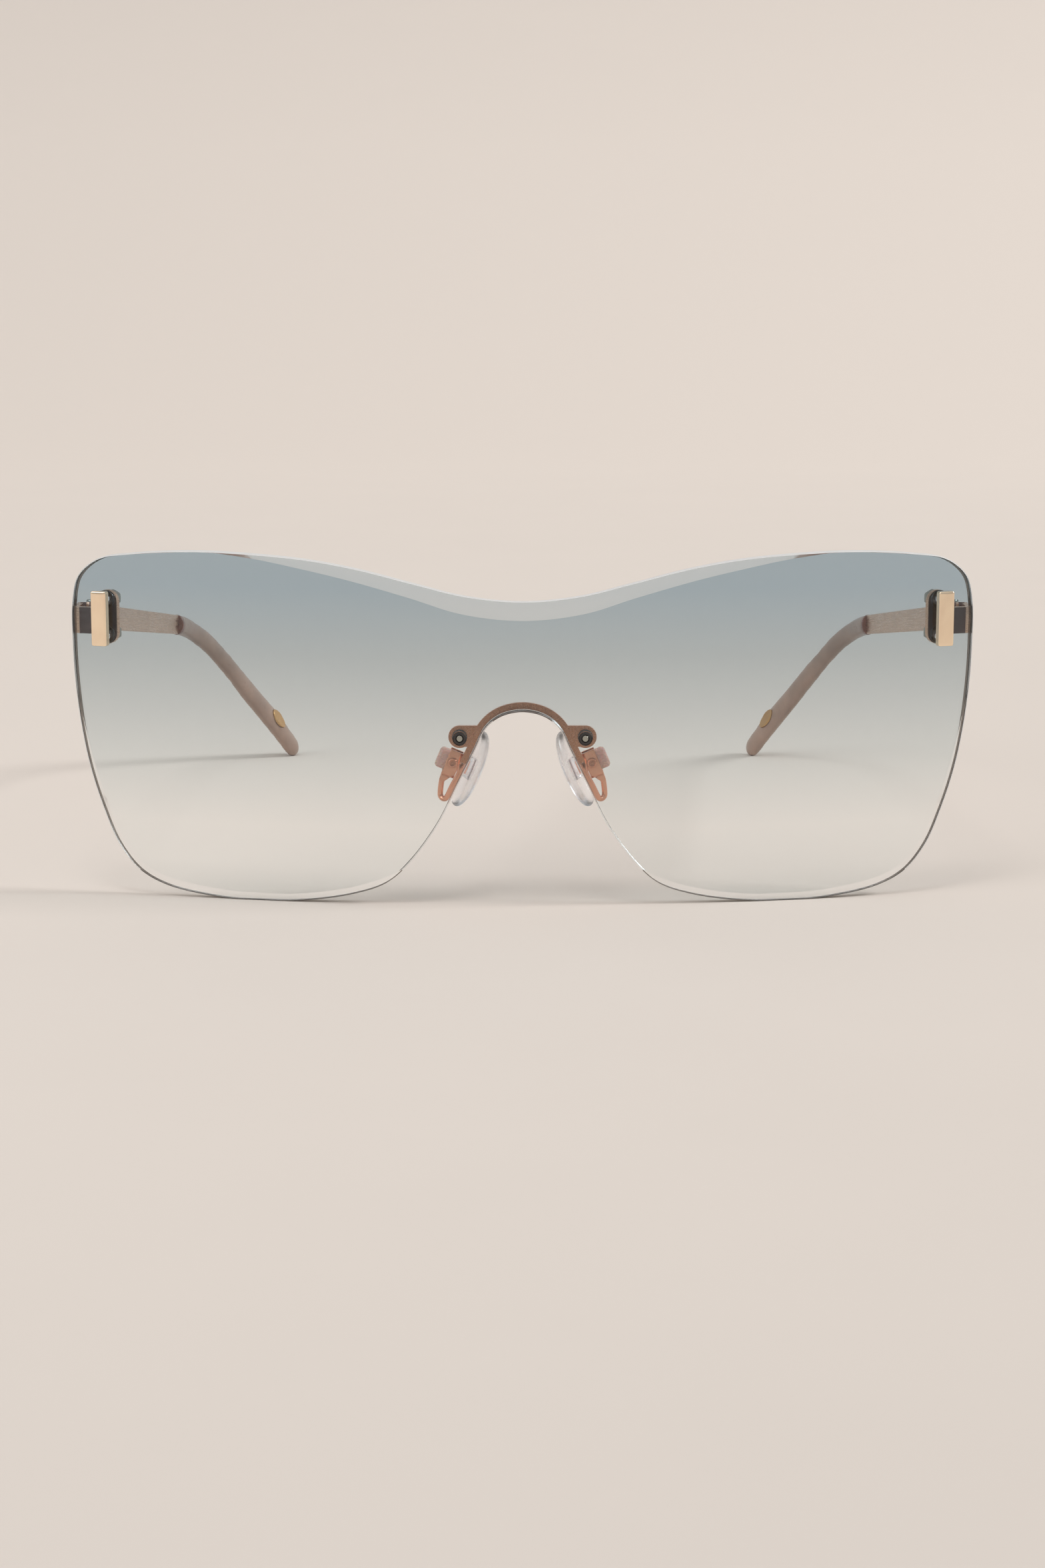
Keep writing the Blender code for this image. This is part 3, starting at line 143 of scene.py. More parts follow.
# Gaps and the fasteners through the lens
GAP = 0.00006
OVERRUN = 0.0010
WELD = 0.000001
BAR_X = LENS_HALF_WIDTH - 0.0050
BAR_Z = LENS_HEIGHT - 0.0111
BAR_SIZE = (0.0026, 0.0087, 0.0013)
BAR_CROWN = 0.00005
BAR_CROWN_START = 0.6
BAR_CORNER_RADIUS = 0.00034
BAR_ROLL = 0.00018
STUD_RADIUS = 0.0006
STUD_SPACING = 0.0055
STUD_HEIGHTS = {"upper": STUD_SPACING / 2, "lower": -STUD_SPACING / 2}
STUD_PROUD = 0.0003
SLEEVE_WALL = 0.00042
FLANGE_RADIUS = 0.0015
FLANGE_THICKNESS = 0.00035
NUT_ACROSS_FLATS = 0.0024
NUT_HEIGHT = 0.0018
NUT_SIDES = 6
NUT_CORNER_RADIUS = NUT_ACROSS_FLATS / 2 / math.cos(math.pi / NUT_SIDES)
NUT_CHAMFER = math.radians(35.0)
NUT_ROLL = 0.00003
PLATE_SIZE = (0.0036, 0.0086, 0.0010)
FLANGE_DEPTH = LENS_THICKNESS + GAP
PLATE_DEPTH = FLANGE_DEPTH + FLANGE_THICKNESS + GAP
NUT_DEPTH = PLATE_DEPTH + PLATE_SIZE[2] + GAP
STUD_DEPTH = NUT_DEPTH + NUT_HEIGHT + STUD_PROUD
SLEEVE_BORE = STUD_RADIUS + GAP
SLEEVE_RADIUS = SLEEVE_BORE + SLEEVE_WALL

# Straps and hinges
STRAP_HEIGHT = 0.0042
STRAP_THICKNESS = 0.0009
STRAP_OUTER_X = LENS_HALF_WIDTH - 0.0002
STRAP_OVERLAP = 0.0006
STRAP_BEND_RADIUS = 0.0013
HINGE_TILT = math.radians(8.0)
HINGE_BEHIND = 0.00856
KNUCKLE_RADIUS = 0.0013
KNUCKLE_GAP = 0.00008
KNUCKLE_TOP = STRAP_HEIGHT / 2
KNUCKLE_SPLIT = 0.0008
KNUCKLE_WEB = 0.75
PIVOT_RADIUS = 0.0006
PIVOT_HEAD = (0.0010, 0.0004)
# The endpieces get a dark brown-black finish, painted shade, where the y of their normals is below this,
# which is toward the lens
SHADED_FACE_FACING = -0.92
BAR_INNER = KNUCKLE_RADIUS + KNUCKLE_GAP
BAR_MIDDLE = BAR_INNER + STRAP_THICKNESS / 2
HINGE_X = STRAP_OUTER_X - STRAP_THICKNESS - BAR_INNER
HINGE_Z = BAR_Z - 0.0007

# Temples and tips
TEMPLE_LENGTH = 0.0894
TEMPLE_END_HEIGHT = 0.0036
TEMPLE_TOE_IN = 0.00342
TEMPLE_ROLL = 0.0002
CORE_RADIUS = 0.00045
CORE_ROOT = 0.0020
CORE_SHARE = 0.80
CORE_STATIONS = 9
CORE_BORE_SHARE = 0.815
COLLAR_SIZE = (0.0027, 0.0038, 0.0012)
COLLAR_ROLL = 0.0002
TIP_REACH = 0.0402
TIP_TOE_IN = 0.0186
TIP_HEIGHT = 0.0050
TIP_WIDTH = 0.0029
TIP_FLAT_DEPTH = 0.00015
TIP_STATIONS = 80
TIP_SIDES = 40
TIP_END_RINGS = 9
TIP_END_SWEEP = math.radians(86.0)
# Along the reach: share of the reach, of the drop and of the way inward
TIP_PATH_SHARES = (
    (0.000, 0.000, 0.000),
    (0.125, 0.012, 0.040),
    (0.254, 0.045, 0.098),
    (0.414, 0.138, 0.223),
    (0.586, 0.321, 0.397),
    (0.754, 0.567, 0.614),
    (0.897, 0.800, 0.830),
    (1.000, 1.000, 1.000),
)
# Along the tip: share of its length, of the full height and of the full width
TIP_SECTION_SHARES = (
    (0.00, 0.74, 0.90),
    (0.20, 0.74, 0.88),
    (0.45, 0.80, 0.88),
    (0.70, 0.94, 0.96),
    (0.86, 1.00, 1.00),
    (1.00, 0.92, 0.96),
)
# Where a tip draws in at its collar: share of its length past the collar, and scale
TIP_START_SHARES = ((0.0, 0.90), (0.0015, 0.97))
TIP_FULL_SHARE = 0.004
TIP_END_ROUND = TIP_HEIGHT / 2 * TIP_SECTION_SHARES[-1][1]
TIP_END_ALONG = TEMPLE_LENGTH + TIP_REACH
PLAQUE_SIZE = (0.0046, 0.0030, 0.0004)
PLAQUE_SHARE = 0.86
PLAQUE_DEPTH = 0.00025
PLAQUE_ROLL = 0.00008

# The nose bracket, its fasteners, the pad arms and the pads
BRACKET_THICKNESS = 0.0008
BRACKET_BAND = 0.0010
BRACKET_SETBACK = 0.0002
BRACKET_ROLL = 0.00012
NOSE_TOP = RIM_SHARES[-1][1] * LENS_HEIGHT - LENS_FOOT_DEPTH
BRACKET_LEG_Z = NOSE_TOP - 0.00918
EAR_Z = NOSE_TOP - 0.00422
EAR_OUT = 0.0032
EAR_RADIUS = 0.00175
EAR_WEB_SHARE = 0.9
SHANK_RADIUS = 0.00055
BRACKET_BORE = SHANK_RADIUS + GAP
BRACKET_SCREW_HEAD = (0.00100, 0.00045)
BRACKET_FLANGE_RADIUS = 0.00118
BRACKET_FLANGE_GAP = 0.00012
HEAD_ROLL_SHARE = 0.55
TIP_CHAMFER_SHARE = 0.18
SLOT_WIDTH = 0.00022
SLOT_DEPTH = 0.00020
SUNK_RIM_SHARE = 0.22
SINK_SHARE = 0.7
# The middle of a sunk head: share of its inner radius, and of its height above the sink
BOSS_SHARES = ((0.0, 0.3), (0.35, 0.25), (0.55, 0.0), (1.0, 0.0))
WIRE_RADIUS = 0.00045
WIRE_SINK = 0.0002
WIRE_STEPS = 8
WIRE_BEND_RADIUS = 0.0007
WIRE_BEND_POINTS = 6
WIRE_BEND_YAW = math.radians(35.0)
WIRE_BEND_START = math.radians(25.0)
WIRE_DOWN_SHARES = ((-0.240, -0.740, -0.320), (0.010, -0.380, -0.830))
WIRE_BEND_SHARES = (0.335, -0.080, -1.210)
ARM_ROLL = 0.00014
NECK_LENGTH = 0.0011
NECK_WAIST_SHARE = 0.55
NECK_WAIST_DROP = 0.00015
NECK_SHOULDER_DROP = 0.0001
NECK_FOOT_SHARE = 0.9
PAD_TILT = math.radians(23.0)
PAD_SPLAY = math.radians(24.0)
# From the bracket's ear to the clip: outward, back and up
CLIP_FROM_EAR = (0.00115, 0.00384, -0.00466)
CLIP_WIDTH = 0.0021
CLIP_ABOVE = 0.0019
CLIP_BELOW = 0.0024
CLIP_HEIGHT = CLIP_ABOVE + CLIP_BELOW
CLIP_THICKNESS = 0.00045
CLIP_BEND_RADIUS = 0.0003
CLIP_SCREW_RADIUS = 0.00040
CLIP_BORE = CLIP_SCREW_RADIUS + GAP
CLIP_SCREW_HEAD = (0.00075, 0.00035)
LUG_SIZE = (0.0015, 0.0034)
LUG_REACH = 0.0026
LUG_INNER = 0.00315
LUG_FOOT = (0.0006, 0.0022, 0.0034)
LUG_FOOT_COVER = 0.0002
CORE_TAB_ROLL = 0.00062
PAD_LENGTH = 0.0128
PAD_WIDTH = 0.0072
PAD_DOME = 0.0013
PAD_BACK = 0.0007
PAD_INWARD = 0.0029
PAD_BEHIND = 0.0010
PAD_BELOW = 0.0003
PAD_SQUARENESS = 0.88
CHEEK_INNER = LUG_SIZE[0] / 2 + GAP
CHEEK_OUTER = CHEEK_INNER + CLIP_THICKNESS

# The stage: the paper in front, its bend up behind, how high it goes and how far to each side
PAPER_FRONT = -3.0
PAPER_BACK = 0.9
PAPER_BEND = 1.6
PAPER_RISE = 2.2
PAPER_HALF_WIDTH = 4.0
# Where along Y the paper's tones start and end, and its tones: share of the way and brightness
PAPER_TONE_SPAN = (-0.4, 2.4)
PAPER_TONES = ((0.04, 0.83), (0.13, 0.91), (0.22, 0.945), (0.47, 1.12), (0.73, 1.14), (1.0, 1.03))
PAPER_CLOUD_MM = 60.0
PAPER_CLOUD_SHARE = 0.03
# The light from all round, along Z and along Y: a span and what it adds
WORLD_HEIGHT = ((0.0, 0.6), (0.35, 1.0))
WORLD_BACK = ((-1.0, 1.0), (-0.35, 0.35))
# Its tones: the sum of the two, and brightness
WORLD_TONES = ((0.0, 0.5), (0.35, 0.85), (0.9, 1.0))
CAMERA_PLACE = (0.0, -0.5560, 0.1040)
# Each lamp's setting, size and place
LAMPS = {
    "key_lamp": ("key", 1.3, (4.0, -0.2, 3.0)),
    "fill_card": ("fill", 0.8, (-0.9, -0.6, 0.6)),
    "strip_lamp": ("strip", 0.25, (-0.1, -0.35, 0.9)),
}

ROUND_SIDES = 56
BORE_SIDES = 32
SMOOTH_ANGLE = math.radians(32.0)
FLAT_ANGLE = math.radians(0.5)
# The middle range of a noise, over which a finish varies
NOISE_SPAN = (0.3, 0.7)
IDENTITY = Matrix.Identity(4)
MIRROR = Matrix.Diagonal((-1.0, 1.0, 1.0, 1.0))
UPRIGHT = Matrix.Rotation(math.pi / 2, 4, "X")


def linear(code):
    """An sRGB hex value as linear red, green and blue."""
    values = [int(code[i : i + 2], 16) / 255 for i in (1, 3, 5)]
    return [v / 12.92 if v <= 0.04045 else ((v + 0.055) / 1.055) ** 2.4 for v in values]


# Shapes


def smooth_curve(points, steps, closed=False):
    """Points along a centripetal Catmull-Rom curve, steps for each span."""
    count = len(points)
    result = []
    for i in range(count if closed else count - 1):
        if closed:
            p0, p1, p2, p3 = (points[(i + k) % count] for k in (-1, 0, 1, 2))
        else:
            p1, p2 = points[i], points[i + 1]
            p0 = points[i - 1] if i else p1 * 2 - p2
            p3 = points[i + 2] if i + 2 < count else p2 * 2 - p1
        t0 = 0.0
        t1 = t0 + math.sqrt((p1 - p0).length)
        t2 = t1 + math.sqrt((p2 - p1).length)
        t3 = t2 + math.sqrt((p3 - p2).length)
        for step in range(steps):
            t = t1 + (t2 - t1) * step / steps
            a1 = p0 * ((t1 - t) / (t1 - t0)) + p1 * ((t - t0) / (t1 - t0))
            a2 = p1 * ((t2 - t) / (t2 - t1)) + p2 * ((t - t1) / (t2 - t1))
            a3 = p2 * ((t3 - t) / (t3 - t2)) + p3 * ((t - t2) / (t3 - t2))
            b1 = a1 * ((t2 - t) / (t2 - t0)) + a2 * ((t - t0) / (t2 - t0))
            b2 = a2 * ((t3 - t) / (t3 - t1)) + a3 * ((t - t1) / (t3 - t1))
            result.append(b1 * ((t2 - t) / (t2 - t1)) + b2 * ((t - t1) / (t2 - t1)))
    if not closed:
        result.append(points[-1].copy())
    return result


def arc(centre, radius, start, end, steps):
    """Points (x, y) round a centre, from one angle to another."""
    angles = [start + (end - start) * k / steps for k in range(steps + 1)]
    return [(centre[0] + radius * math.cos(a), centre[1] + radius * math.sin(a)) for a in angles]


def updated_graph():
    bpy.context.view_layer.update()
    return bpy.context.evaluated_depsgraph_get()


def curve_shape(points, cyclic=False, **settings):
    """A shape from a curve through the points, its seams welded."""
    curve = bpy.data.curves.new("curve", "CURVE")
    for name, value in settings.items():
        setattr(curve, name, value)
    spline = curve.splines.new("POLY")
    spline.points.add(len(points) - 1)
    for point, place in zip(spline.points, points):
        point.co = (*place, 1.0)
    spline.use_cyclic_u = cyclic
    carrier = bpy.data.objects.new("carrier", curve)
    bpy.context.scene.collection.objects.link(carrier)
    shape = bmesh.new()
    shape.from_mesh(carrier.evaluated_get(updated_graph()).to_mesh())
    bmesh.ops.remove_doubles(shape, verts=shape.verts, dist=WELD)
    bpy.data.objects.remove(carrier)
    bpy.data.curves.remove(curve)
    return shape


def sheet(outline, thickness):
    """A flat piece in its own X and Y, with z = 0 in its middle."""
    points = [(x, y, 0.0) for x, y in outline]
    shape = curve_shape(points, cyclic=True, dimensions="2D", fill_mode="BOTH", extrude=thickness / 2)
    merge_flats(shape, {"NORMAL"})
    return shape


def wire(points, radius):
    """A round wire through the points, with closed ends."""
    return curve_shape(points, dimensions="3D", bevel_depth=radius, bevel_resolution=6, use_fill_caps=True)


def ribbon(path, thickness):
    """The outline of a strip of the given thickness along a path in the plane."""
    left, right = [], []
    for i, point in enumerate(path):
        along = (path[min(i + 1, len(path) - 1)] - path[max(i - 1, 0)]).normalized()
        across = Vector((-along.y, along.x)) * (thickness / 2)
        left.append(point + across)
        right.append(point - across)
    return [tuple(p) for p in right + left[::-1]]


def filleted(start, corner, end, radius, steps):
    """A path from start to end whose corner is rounded to a radius."""
    first = (start - corner).normalized()
    second = (end - corner).normalized()
    half = first.angle(second) / 2
    centre = corner + (first + second).normalized() * (radius / math.sin(half))
    enter = corner + first * (radius / math.tan(half))
    leave = corner + second * (radius / math.tan(half))
    turn = (enter - centre).angle_signed(leave - centre)
    bend = [centre + Matrix.Rotation(-turn * k / steps, 2) @ (enter - centre) for k in range(steps + 1)]
    return [start, *bend, end]


def loft(rings):
    """A closed skin through rings of equally many points, with flat ends."""
    shape = bmesh.new()
    loops = [[shape.verts.new(point) for point in ring] for ring in rings]
    for lower, upper in zip(loops, loops[1:]):
        for i in range(len(lower)):
            j = (i + 1) % len(lower)
            shape.faces.new((lower[i], lower[j], upper[j], upper[i]))
    shape.faces.new(loops[0][::-1])
    shape.faces.new(loops[-1])
    bmesh.ops.recalc_face_normals(shape, faces=shape.faces)
    return shape


def turned(profile):
    """A turned shape round Z from a closed profile (radius, height)."""
    shape = bmesh.new()
    verts = [shape.verts.new((radius, 0.0, height)) for radius, height in profile]
    on_axis = profile[0][0] == 0.0
    edges = [shape.edges.new(pair) for pair in zip(verts, verts[1:] if on_axis else verts[1:] + verts[:1])]
    bmesh.ops.spin(
        shape,
        geom=verts + edges,
        cent=(0.0, 0.0, 0.0),
        axis=(0.0, 0.0, 1.0),
        angle=math.tau,
        steps=ROUND_SIDES,
        use_duplicate=False,
    )
    bmesh.ops.remove_doubles(shape, verts=shape.verts, dist=WELD)
    bmesh.ops.recalc_face_normals(shape, faces=shape.faces)
    return shape


def block(low, high):
    """A box between two opposite corners."""
    shape = bmesh.new()
    bmesh.ops.create_cube(shape, size=1.0)
    size = Vector(high) - Vector(low)
    middle = (Vector(high) + Vector(low)) / 2
    shape.transform(Matrix.Translation(middle) @ Matrix.Diagonal((*size, 1.0)))
    return shape


def rod(radius, start, end, y=0.0, sides=ROUND_SIDES):
    """A cylinder along Z from start to end."""
    shape = bmesh.new()
    place = Matrix.Translation((0.0, y, (start + end) / 2))
    bmesh.ops.create_cone(
        shape, cap_ends=True, segments=sides, radius1=radius, radius2=radius, depth=end - start, matrix=place
    )
    return shape


def placed(shape, place=IDENTITY, side=1):
    """Moves a shape from its own frame to the object's frame, mirrored for the left-hand side."""
    shape.transform(Matrix.Translation((0.0, APEX_Y, 0.0)) @ place)
    if side < 0:
        shape.transform(MIRROR)
        bmesh.ops.reverse_faces(shape, faces=shape.faces)
    return shape


def divide(shape, axis, at):
    """Divides a shape's faces where they cross the plane at a place on an axis."""
    place, normal = Vector(), Vector()
    place[axis], normal[axis] = at, 1.0
    geometry = shape.verts[:] + shape.edges[:] + shape.faces[:]
    bmesh.ops.bisect_plane(shape, geom=geometry, plane_co=place, plane_no=normal)


def merge_flats(shape, borders):
    """Makes faces that lie in one plane into one face, up to the given kinds of border."""
    bmesh.ops.dissolve_limit(
        shape, angle_limit=FLAT_ANGLE, verts=shape.verts, edges=shape.edges, delimit=borders
    )


# Pieces


def new_piece(name, shape):
    mesh = bpy.data.meshes.new(name)
    shape.to_mesh(mesh)
    shape.free()
    piece = bpy.data.objects.new(name, mesh)
    bpy.context.scene.collection.objects.link(piece)
    return piece


def shape_of(piece):
    shape = bmesh.new()
    shape.from_mesh(piece.data)
    return shape


def put_back(shape, piece):
    shape.to_mesh(piece.data)
    shape.free()


def settle(piece):
    """Makes what the modifiers give into the piece's own mesh."""
    mesh = bpy.data.meshes.new_from_object(piece.evaluated_get(updated_graph()))
    old = piece.data
    piece.modifiers.clear()
    piece.data = mesh
    bpy.data.meshes.remove(old)
    mesh.name = piece.name


def combine(piece, operation, shape):
    """Joins a shape on, cuts it out or keeps what both share."""
    helper = new_piece("helper", shape)
    modifier = piece.modifiers.new(operation, "BOOLEAN")
    modifier.object = helper
    modifier.operation = operation
    modifier.solver = "EXACT"
    settle(piece)
    bpy.data.objects.remove(helper)


def join(piece, shape, place=IDENTITY, side=1):
    combine(piece, "UNION", placed(shape, place, side))


def cut(piece, shape, place=IDENTITY, side=1):
    combine(piece, "DIFFERENCE", placed(shape, place, side))


def flatten(piece):
    """Makes faces of a piece that lie in one plane into one face."""
    shape = shape_of(piece)
    merge_flats(shape, {"NORMAL", "MATERIAL"})
    put_back(shape, piece)


def round_edges(piece, width, segments):
    """Rolls over the crisp edges of a piece."""
    bevel = piece.modifiers.new("Rolled edges", "BEVEL")
    bevel.width = width
    bevel.segments = segments
    bevel.limit_method = "ANGLE"
    bevel.angle_limit = SMOOTH_ANGLE
    bevel.miter_outer = "MITER_ARC"
    settle(piece)


def shade_round(piece, angle=SMOOTH_ANGLE):
    """Shades a piece smooth between its crisp edges."""
    piece.data.shade_smooth()
    piece.data.set_sharp_from_angle(angle=angle)


def dress(piece, node, slot, *builders, flats=True):
    """Shades a piece, gives it its finishes and sets it in place of its node, on the node's body."""
    shade_round(piece)
    if flats:
        piece.modifiers.new("Flat faces", "WEIGHTED_NORMAL").keep_sharp = True
        settle(piece)
    piece.data.materials.clear()
    for builder in builders:
        piece.data.materials.append(finish(builder))
    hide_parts(node)
    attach(piece, frame["nodes"][node]["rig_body"])


def paint(piece, index, chooses):
    """Gives a material slot to the faces that a test of centre and normal chooses."""
    for face in piece.data.polygons:
        if chooses(face.center, face.normal):
            face.material_index = index


# The lens's geometry, which the pieces fixed to it share


def lens_depth(x):
    """How far back the front surface lies at x."""
    return LENS_RADIUS - math.sqrt(LENS_RADIUS**2 - x**2)


def lens_frame(x, z, depth=0.0):
    """A frame on the lens: X along the surface, Y up, Z out of the front, depth behind the front."""
    angle = math.asin(x / LENS_RADIUS)
    radius = LENS_RADIUS - depth
    place = Vector((radius * math.sin(angle), LENS_RADIUS - radius * math.cos(angle), z))
    return Matrix.Translation(place) @ Matrix.Rotation(angle, 4, "Z") @ UPRIGHT


def rim_points():
    """The rim seen from the front, as points (x, z, facet width), round the whole lens."""
    sizes = (LENS_HALF_WIDTH, LENS_HEIGHT, FACET_WIDTH)
    half = [Vector([share * size for share, size in zip(shares, sizes)]) for shares in RIM_SHARES]
    mirrored = [Vector((-p.x, p.y, p.z)) for p in half[-2:0:-1]]
    points = smooth_curve(half + mirrored, RIM_STEPS, closed=True)
    for point in points:
        point.y = max(point.y - LENS_FOOT_DEPTH, 0.0)
        point.z = max(point.z - SEAM_WIDTH, SEAM_WIDTH / 4)
    return points


def rim_normals(rim):
    """Unit vectors out of the lens at each rim point, in the plane of the flat sheet."""
    normals = []
    for before, after in zip(rim[-1:] + rim[:-1], rim[1:] + rim[:1]):
        along = after - before
        normals.append(Vector((-along.y, along.x)).normalized())
    return normals


def nose_edge():
    """The right half of the nose edge, from the bottom up to the middle, as (x, z)."""
    points = rim_points()[NOSE_START * RIM_STEPS : (len(RIM_SHARES) - 1) * RIM_STEPS + 1]
    return [Vector((p.x, p.y)) for p in points if p.y > BRACKET_LEG_Z]


def right_at(path, height):
    """The point at a height on a path that rises."""
    for below, above in zip(path, path[1:]):
        if above.y >= height:
            break
    return below.lerp(above, (height - below.y) / (above.y - below.y))


def offset_path(points, distance):
    """The path moved sideways, away from the nose opening, its last point kept on the middle plane."""
    moved = []
    for i, point in enumerate(points):
        along = points[min(i + 1, len(points) - 1)] - points[max(i - 1, 0)]
        if i == len(points) - 1:
            along = Vector((-1.0, 0.0))
        moved.append(point + Vector((along.y, -along.x)).normalized() * distance)
    return moved


HINGE_Y = lens_depth(LENS_HALF_WIDTH) + HINGE_BEHIND
HINGE_FRAME = Matrix.Translation((HINGE_X, HINGE_Y, HINGE_Z)) @ Matrix.Rotation(-HINGE_TILT, 4, "X")
TIP_END_RISE = TIP_END_ROUND - TIP_FLAT_DEPTH
TIP_DROP = (HINGE_Z - TIP_END_RISE - math.sin(HINGE_TILT) * TIP_END_ALONG) / math.cos(HINGE_TILT)
EAR_X = right_at(nose_edge(), EAR_Z).x + EAR_OUT
EAR_FRAME = Matrix.Translation((EAR_X, 0.0, EAR_Z)) @ UPRIGHT
BRACKET_FLANGE_Y = lens_depth(EAR_X) + LENS_THICKNESS + BRACKET_FLANGE_GAP
BRACKET_FRONT = BRACKET_FLANGE_Y + FLANGE_THICKNESS + GAP
BRACKET_BACK = BRACKET_FRONT + BRACKET_THICKNESS
BRACKET_MIDDLE = (BRACKET_FRONT + BRACKET_BACK) / 2
CLIP_PLACE = Vector((EAR_X, BRACKET_BACK, EAR_Z)) + Vector(CLIP_FROM_EAR)
CLIP_FRAME = Matrix.Translation(CLIP_PLACE) @ Matrix.Rotation(-PAD_TILT, 4, "Y")
CLIP_SCREW_FRAME = CLIP_FRAME @ UPRIGHT
PAD_FRAME = (
    CLIP_FRAME
    @ Matrix.Translation((-PAD_INWARD, PAD_BEHIND, -PAD_BELOW))
    @ Matrix.Rotation(math.pi - PAD_SPLAY, 4, "Z")
)
LUG_FOOT_FRAME = PAD_FRAME @ Matrix.Translation(
    (LUG_FOOT_COVER - PAD_BACK, PAD_BEHIND / math.cos(PAD_SPLAY), PAD_BELOW)
)


def interpolate(table, at):
    """Reads a table of shares whose first column rises from 0 to 1."""
    for low, high in zip(table, table[1:]):
        if at <= high[0]:
            blend = (at - low[0]) / (high[0] - low[0])
            blend = blend * blend * (3 - 2 * blend)
            return [a + (b - a) * blend for a, b in zip(low[1:], high[1:])]
    return list(table[-1][1:])


def tip_path():
    """The middle line of the tip in the hinge frame, and how far along it each point lies."""
    points = []
    for reach, drop, inset in TIP_PATH_SHARES:
        x = -TEMPLE_TOE_IN - inset * TIP_TOE_IN
        points.append(Vector((x, TEMPLE_LENGTH + reach * TIP_REACH, -drop * TIP_DROP)))
    fine = smooth_curve(points, steps=20)
    lengths = [0.0]
    for before, after in zip(fine, fine[1:]):
        lengths.append(lengths[-1] + (after - before).length)
    return fine, lengths


TIP_LINE, TIP_LENGTHS = tip_path()


def on_tip(share):
    """The place and the direction at a share of the tip's length."""
    goal = share * TIP_LENGTHS[-1]
    k = max(i for i, length in enumerate(TIP_LENGTHS[:-1]) if length <= goal)
    blend = (goal - TIP_LENGTHS[k]) / (TIP_LENGTHS[k + 1] - TIP_LENGTHS[k])
    near = TIP_LINE[min(k + 2, len(TIP_LINE) - 1)] - TIP_LINE[max(k - 1, 0)]
    return TIP_LINE[k].lerp(TIP_LINE[k + 1], blend), near.normalized()


def tip_frame(share):
    """A frame on the tip's middle line: X across its width, Y up its height, Z along it."""
    place, along = on_tip(share)
    across = Vector((1.0, 0.0, 0.0))
    across = (across - along * across.dot(along)).normalized()
    return Matrix.Translation(place) @ Matrix((across, along.cross(across), along)).transposed().to_4x4()


def core_path():
    """The core wire's points, from inside the temple along the tip."""
    before = Vector((-TEMPLE_TOE_IN, TEMPLE_LENGTH - CORE_ROOT, 0.0))
    return [before, *(on_tip(CORE_SHARE * k / CORE_STATIONS)[0] for k in range(CORE_STATIONS + 1))]


def oval_ring(place, height, width):
    ring = []
    for k in range(TIP_SIDES):
        angle = math.tau * k / TIP_SIDES
        ring.append(place @ Vector((width / 2 * math.cos(angle), height / 2 * math.sin(angle), 0.0)))
    return ring


def tip_ring(share, scale, beyond=0.0):
    height, width = interpolate(TIP_SECTION_SHARES, share)
    place = tip_frame(share) @ Matrix.Translation((0.0, 0.0, beyond * TIP_END_ROUND))
    return oval_ring(place, height * scale * TIP_HEIGHT, width * scale * TIP_WIDTH)


def plaque_frame():
    """A frame on the inner face of the tip: X along the tip, Z out of the face."""
    _, width = interpolate(TIP_SECTION_SHARES, PLAQUE_SHARE)
    turn = Matrix.Rotation(-math.pi / 2, 4, "Y")
    return tip_frame(PLAQUE_SHARE) @ Matrix.Translation((-width * TIP_WIDTH / 2, 0.0, 0.0)) @ turn


def oval(length, height):
    angles = [math.tau * k / ROUND_SIDES for k in range(ROUND_SIDES)]
    return [(length / 2 * math.cos(a), height / 2 * math.sin(a)) for a in angles]


def round_ended(width, height):
    """The outline of an upright plate with half-round ends."""
    radius = width / 2
    top = arc((0.0, height / 2 - radius), radius, 0.0, math.pi, steps=20)
    return top + arc((0.0, radius - height / 2), radius, math.pi, math.tau, steps=20)


def round_cornered(width, height, radius):
    """The outline of an upright plate with small round corners."""
    x, y = width / 2 - radius, height / 2 - radius
    outline = []
    for k, (corner_x, corner_y) in enumerate(((x, y), (-x, y), (-x, -y), (x, -y))):
        start = k * math.pi / 2
        outline += arc((corner_x, corner_y), radius, start, start + math.pi / 2, steps=8)
    return outline


def pivot_bore():
    """The bore for the hinge's screw, in the hinge's frame."""
    return rod(PIVOT_RADIUS + GAP, -STRAP_HEIGHT, STRAP_HEIGHT)


def knuckle_outline(direction):
    """A knuckle seen along its axis, with the web that ties it to the strap or bar beside it."""
    near = math.asin(GAP / KNUCKLE_RADIUS)
    sweep = math.tau - math.asin(KNUCKLE_WEB) + near
    points = [(BAR_MIDDLE, direction * KNUCKLE_RADIUS * KNUCKLE_WEB), (BAR_MIDDLE, direction * GAP)]
    for x, y in arc((0.0, 0.0), KNUCKLE_RADIUS, near, near - sweep, steps=40):
        points.append((x, direction * y))
    return points


def slotted_screw(head, shank_radius, top, bottom):
    """A screw whose head is rolled over at its rim and slotted, its tip chamfered."""
    radius, height = head
    roll = height * HEAD_ROLL_SHARE
    chamfer = shank_radius * TIP_CHAMFER_SHARE
    profile = [
        (0.0, top),
        *arc((radius - roll, top - roll), roll, math.pi / 2, 0.0, steps=6),
        (radius, top - height),
        (shank_radius, top - height),
        (shank_radius, bottom + chamfer),
        (shank_radius - chamfer, bottom),
        (0.0, bottom),
    ]
    screw = new_piece("screw", turned(profile))
    slot = block((-OVERRUN, -SLOT_WIDTH / 2, top - SLOT_DEPTH), (OVERRUN, SLOT_WIDTH / 2, top + OVERRUN))
    combine(screw, "DIFFERENCE", slot)
    shape = shape_of(screw)
    bpy.data.objects.remove(screw)
    return shape


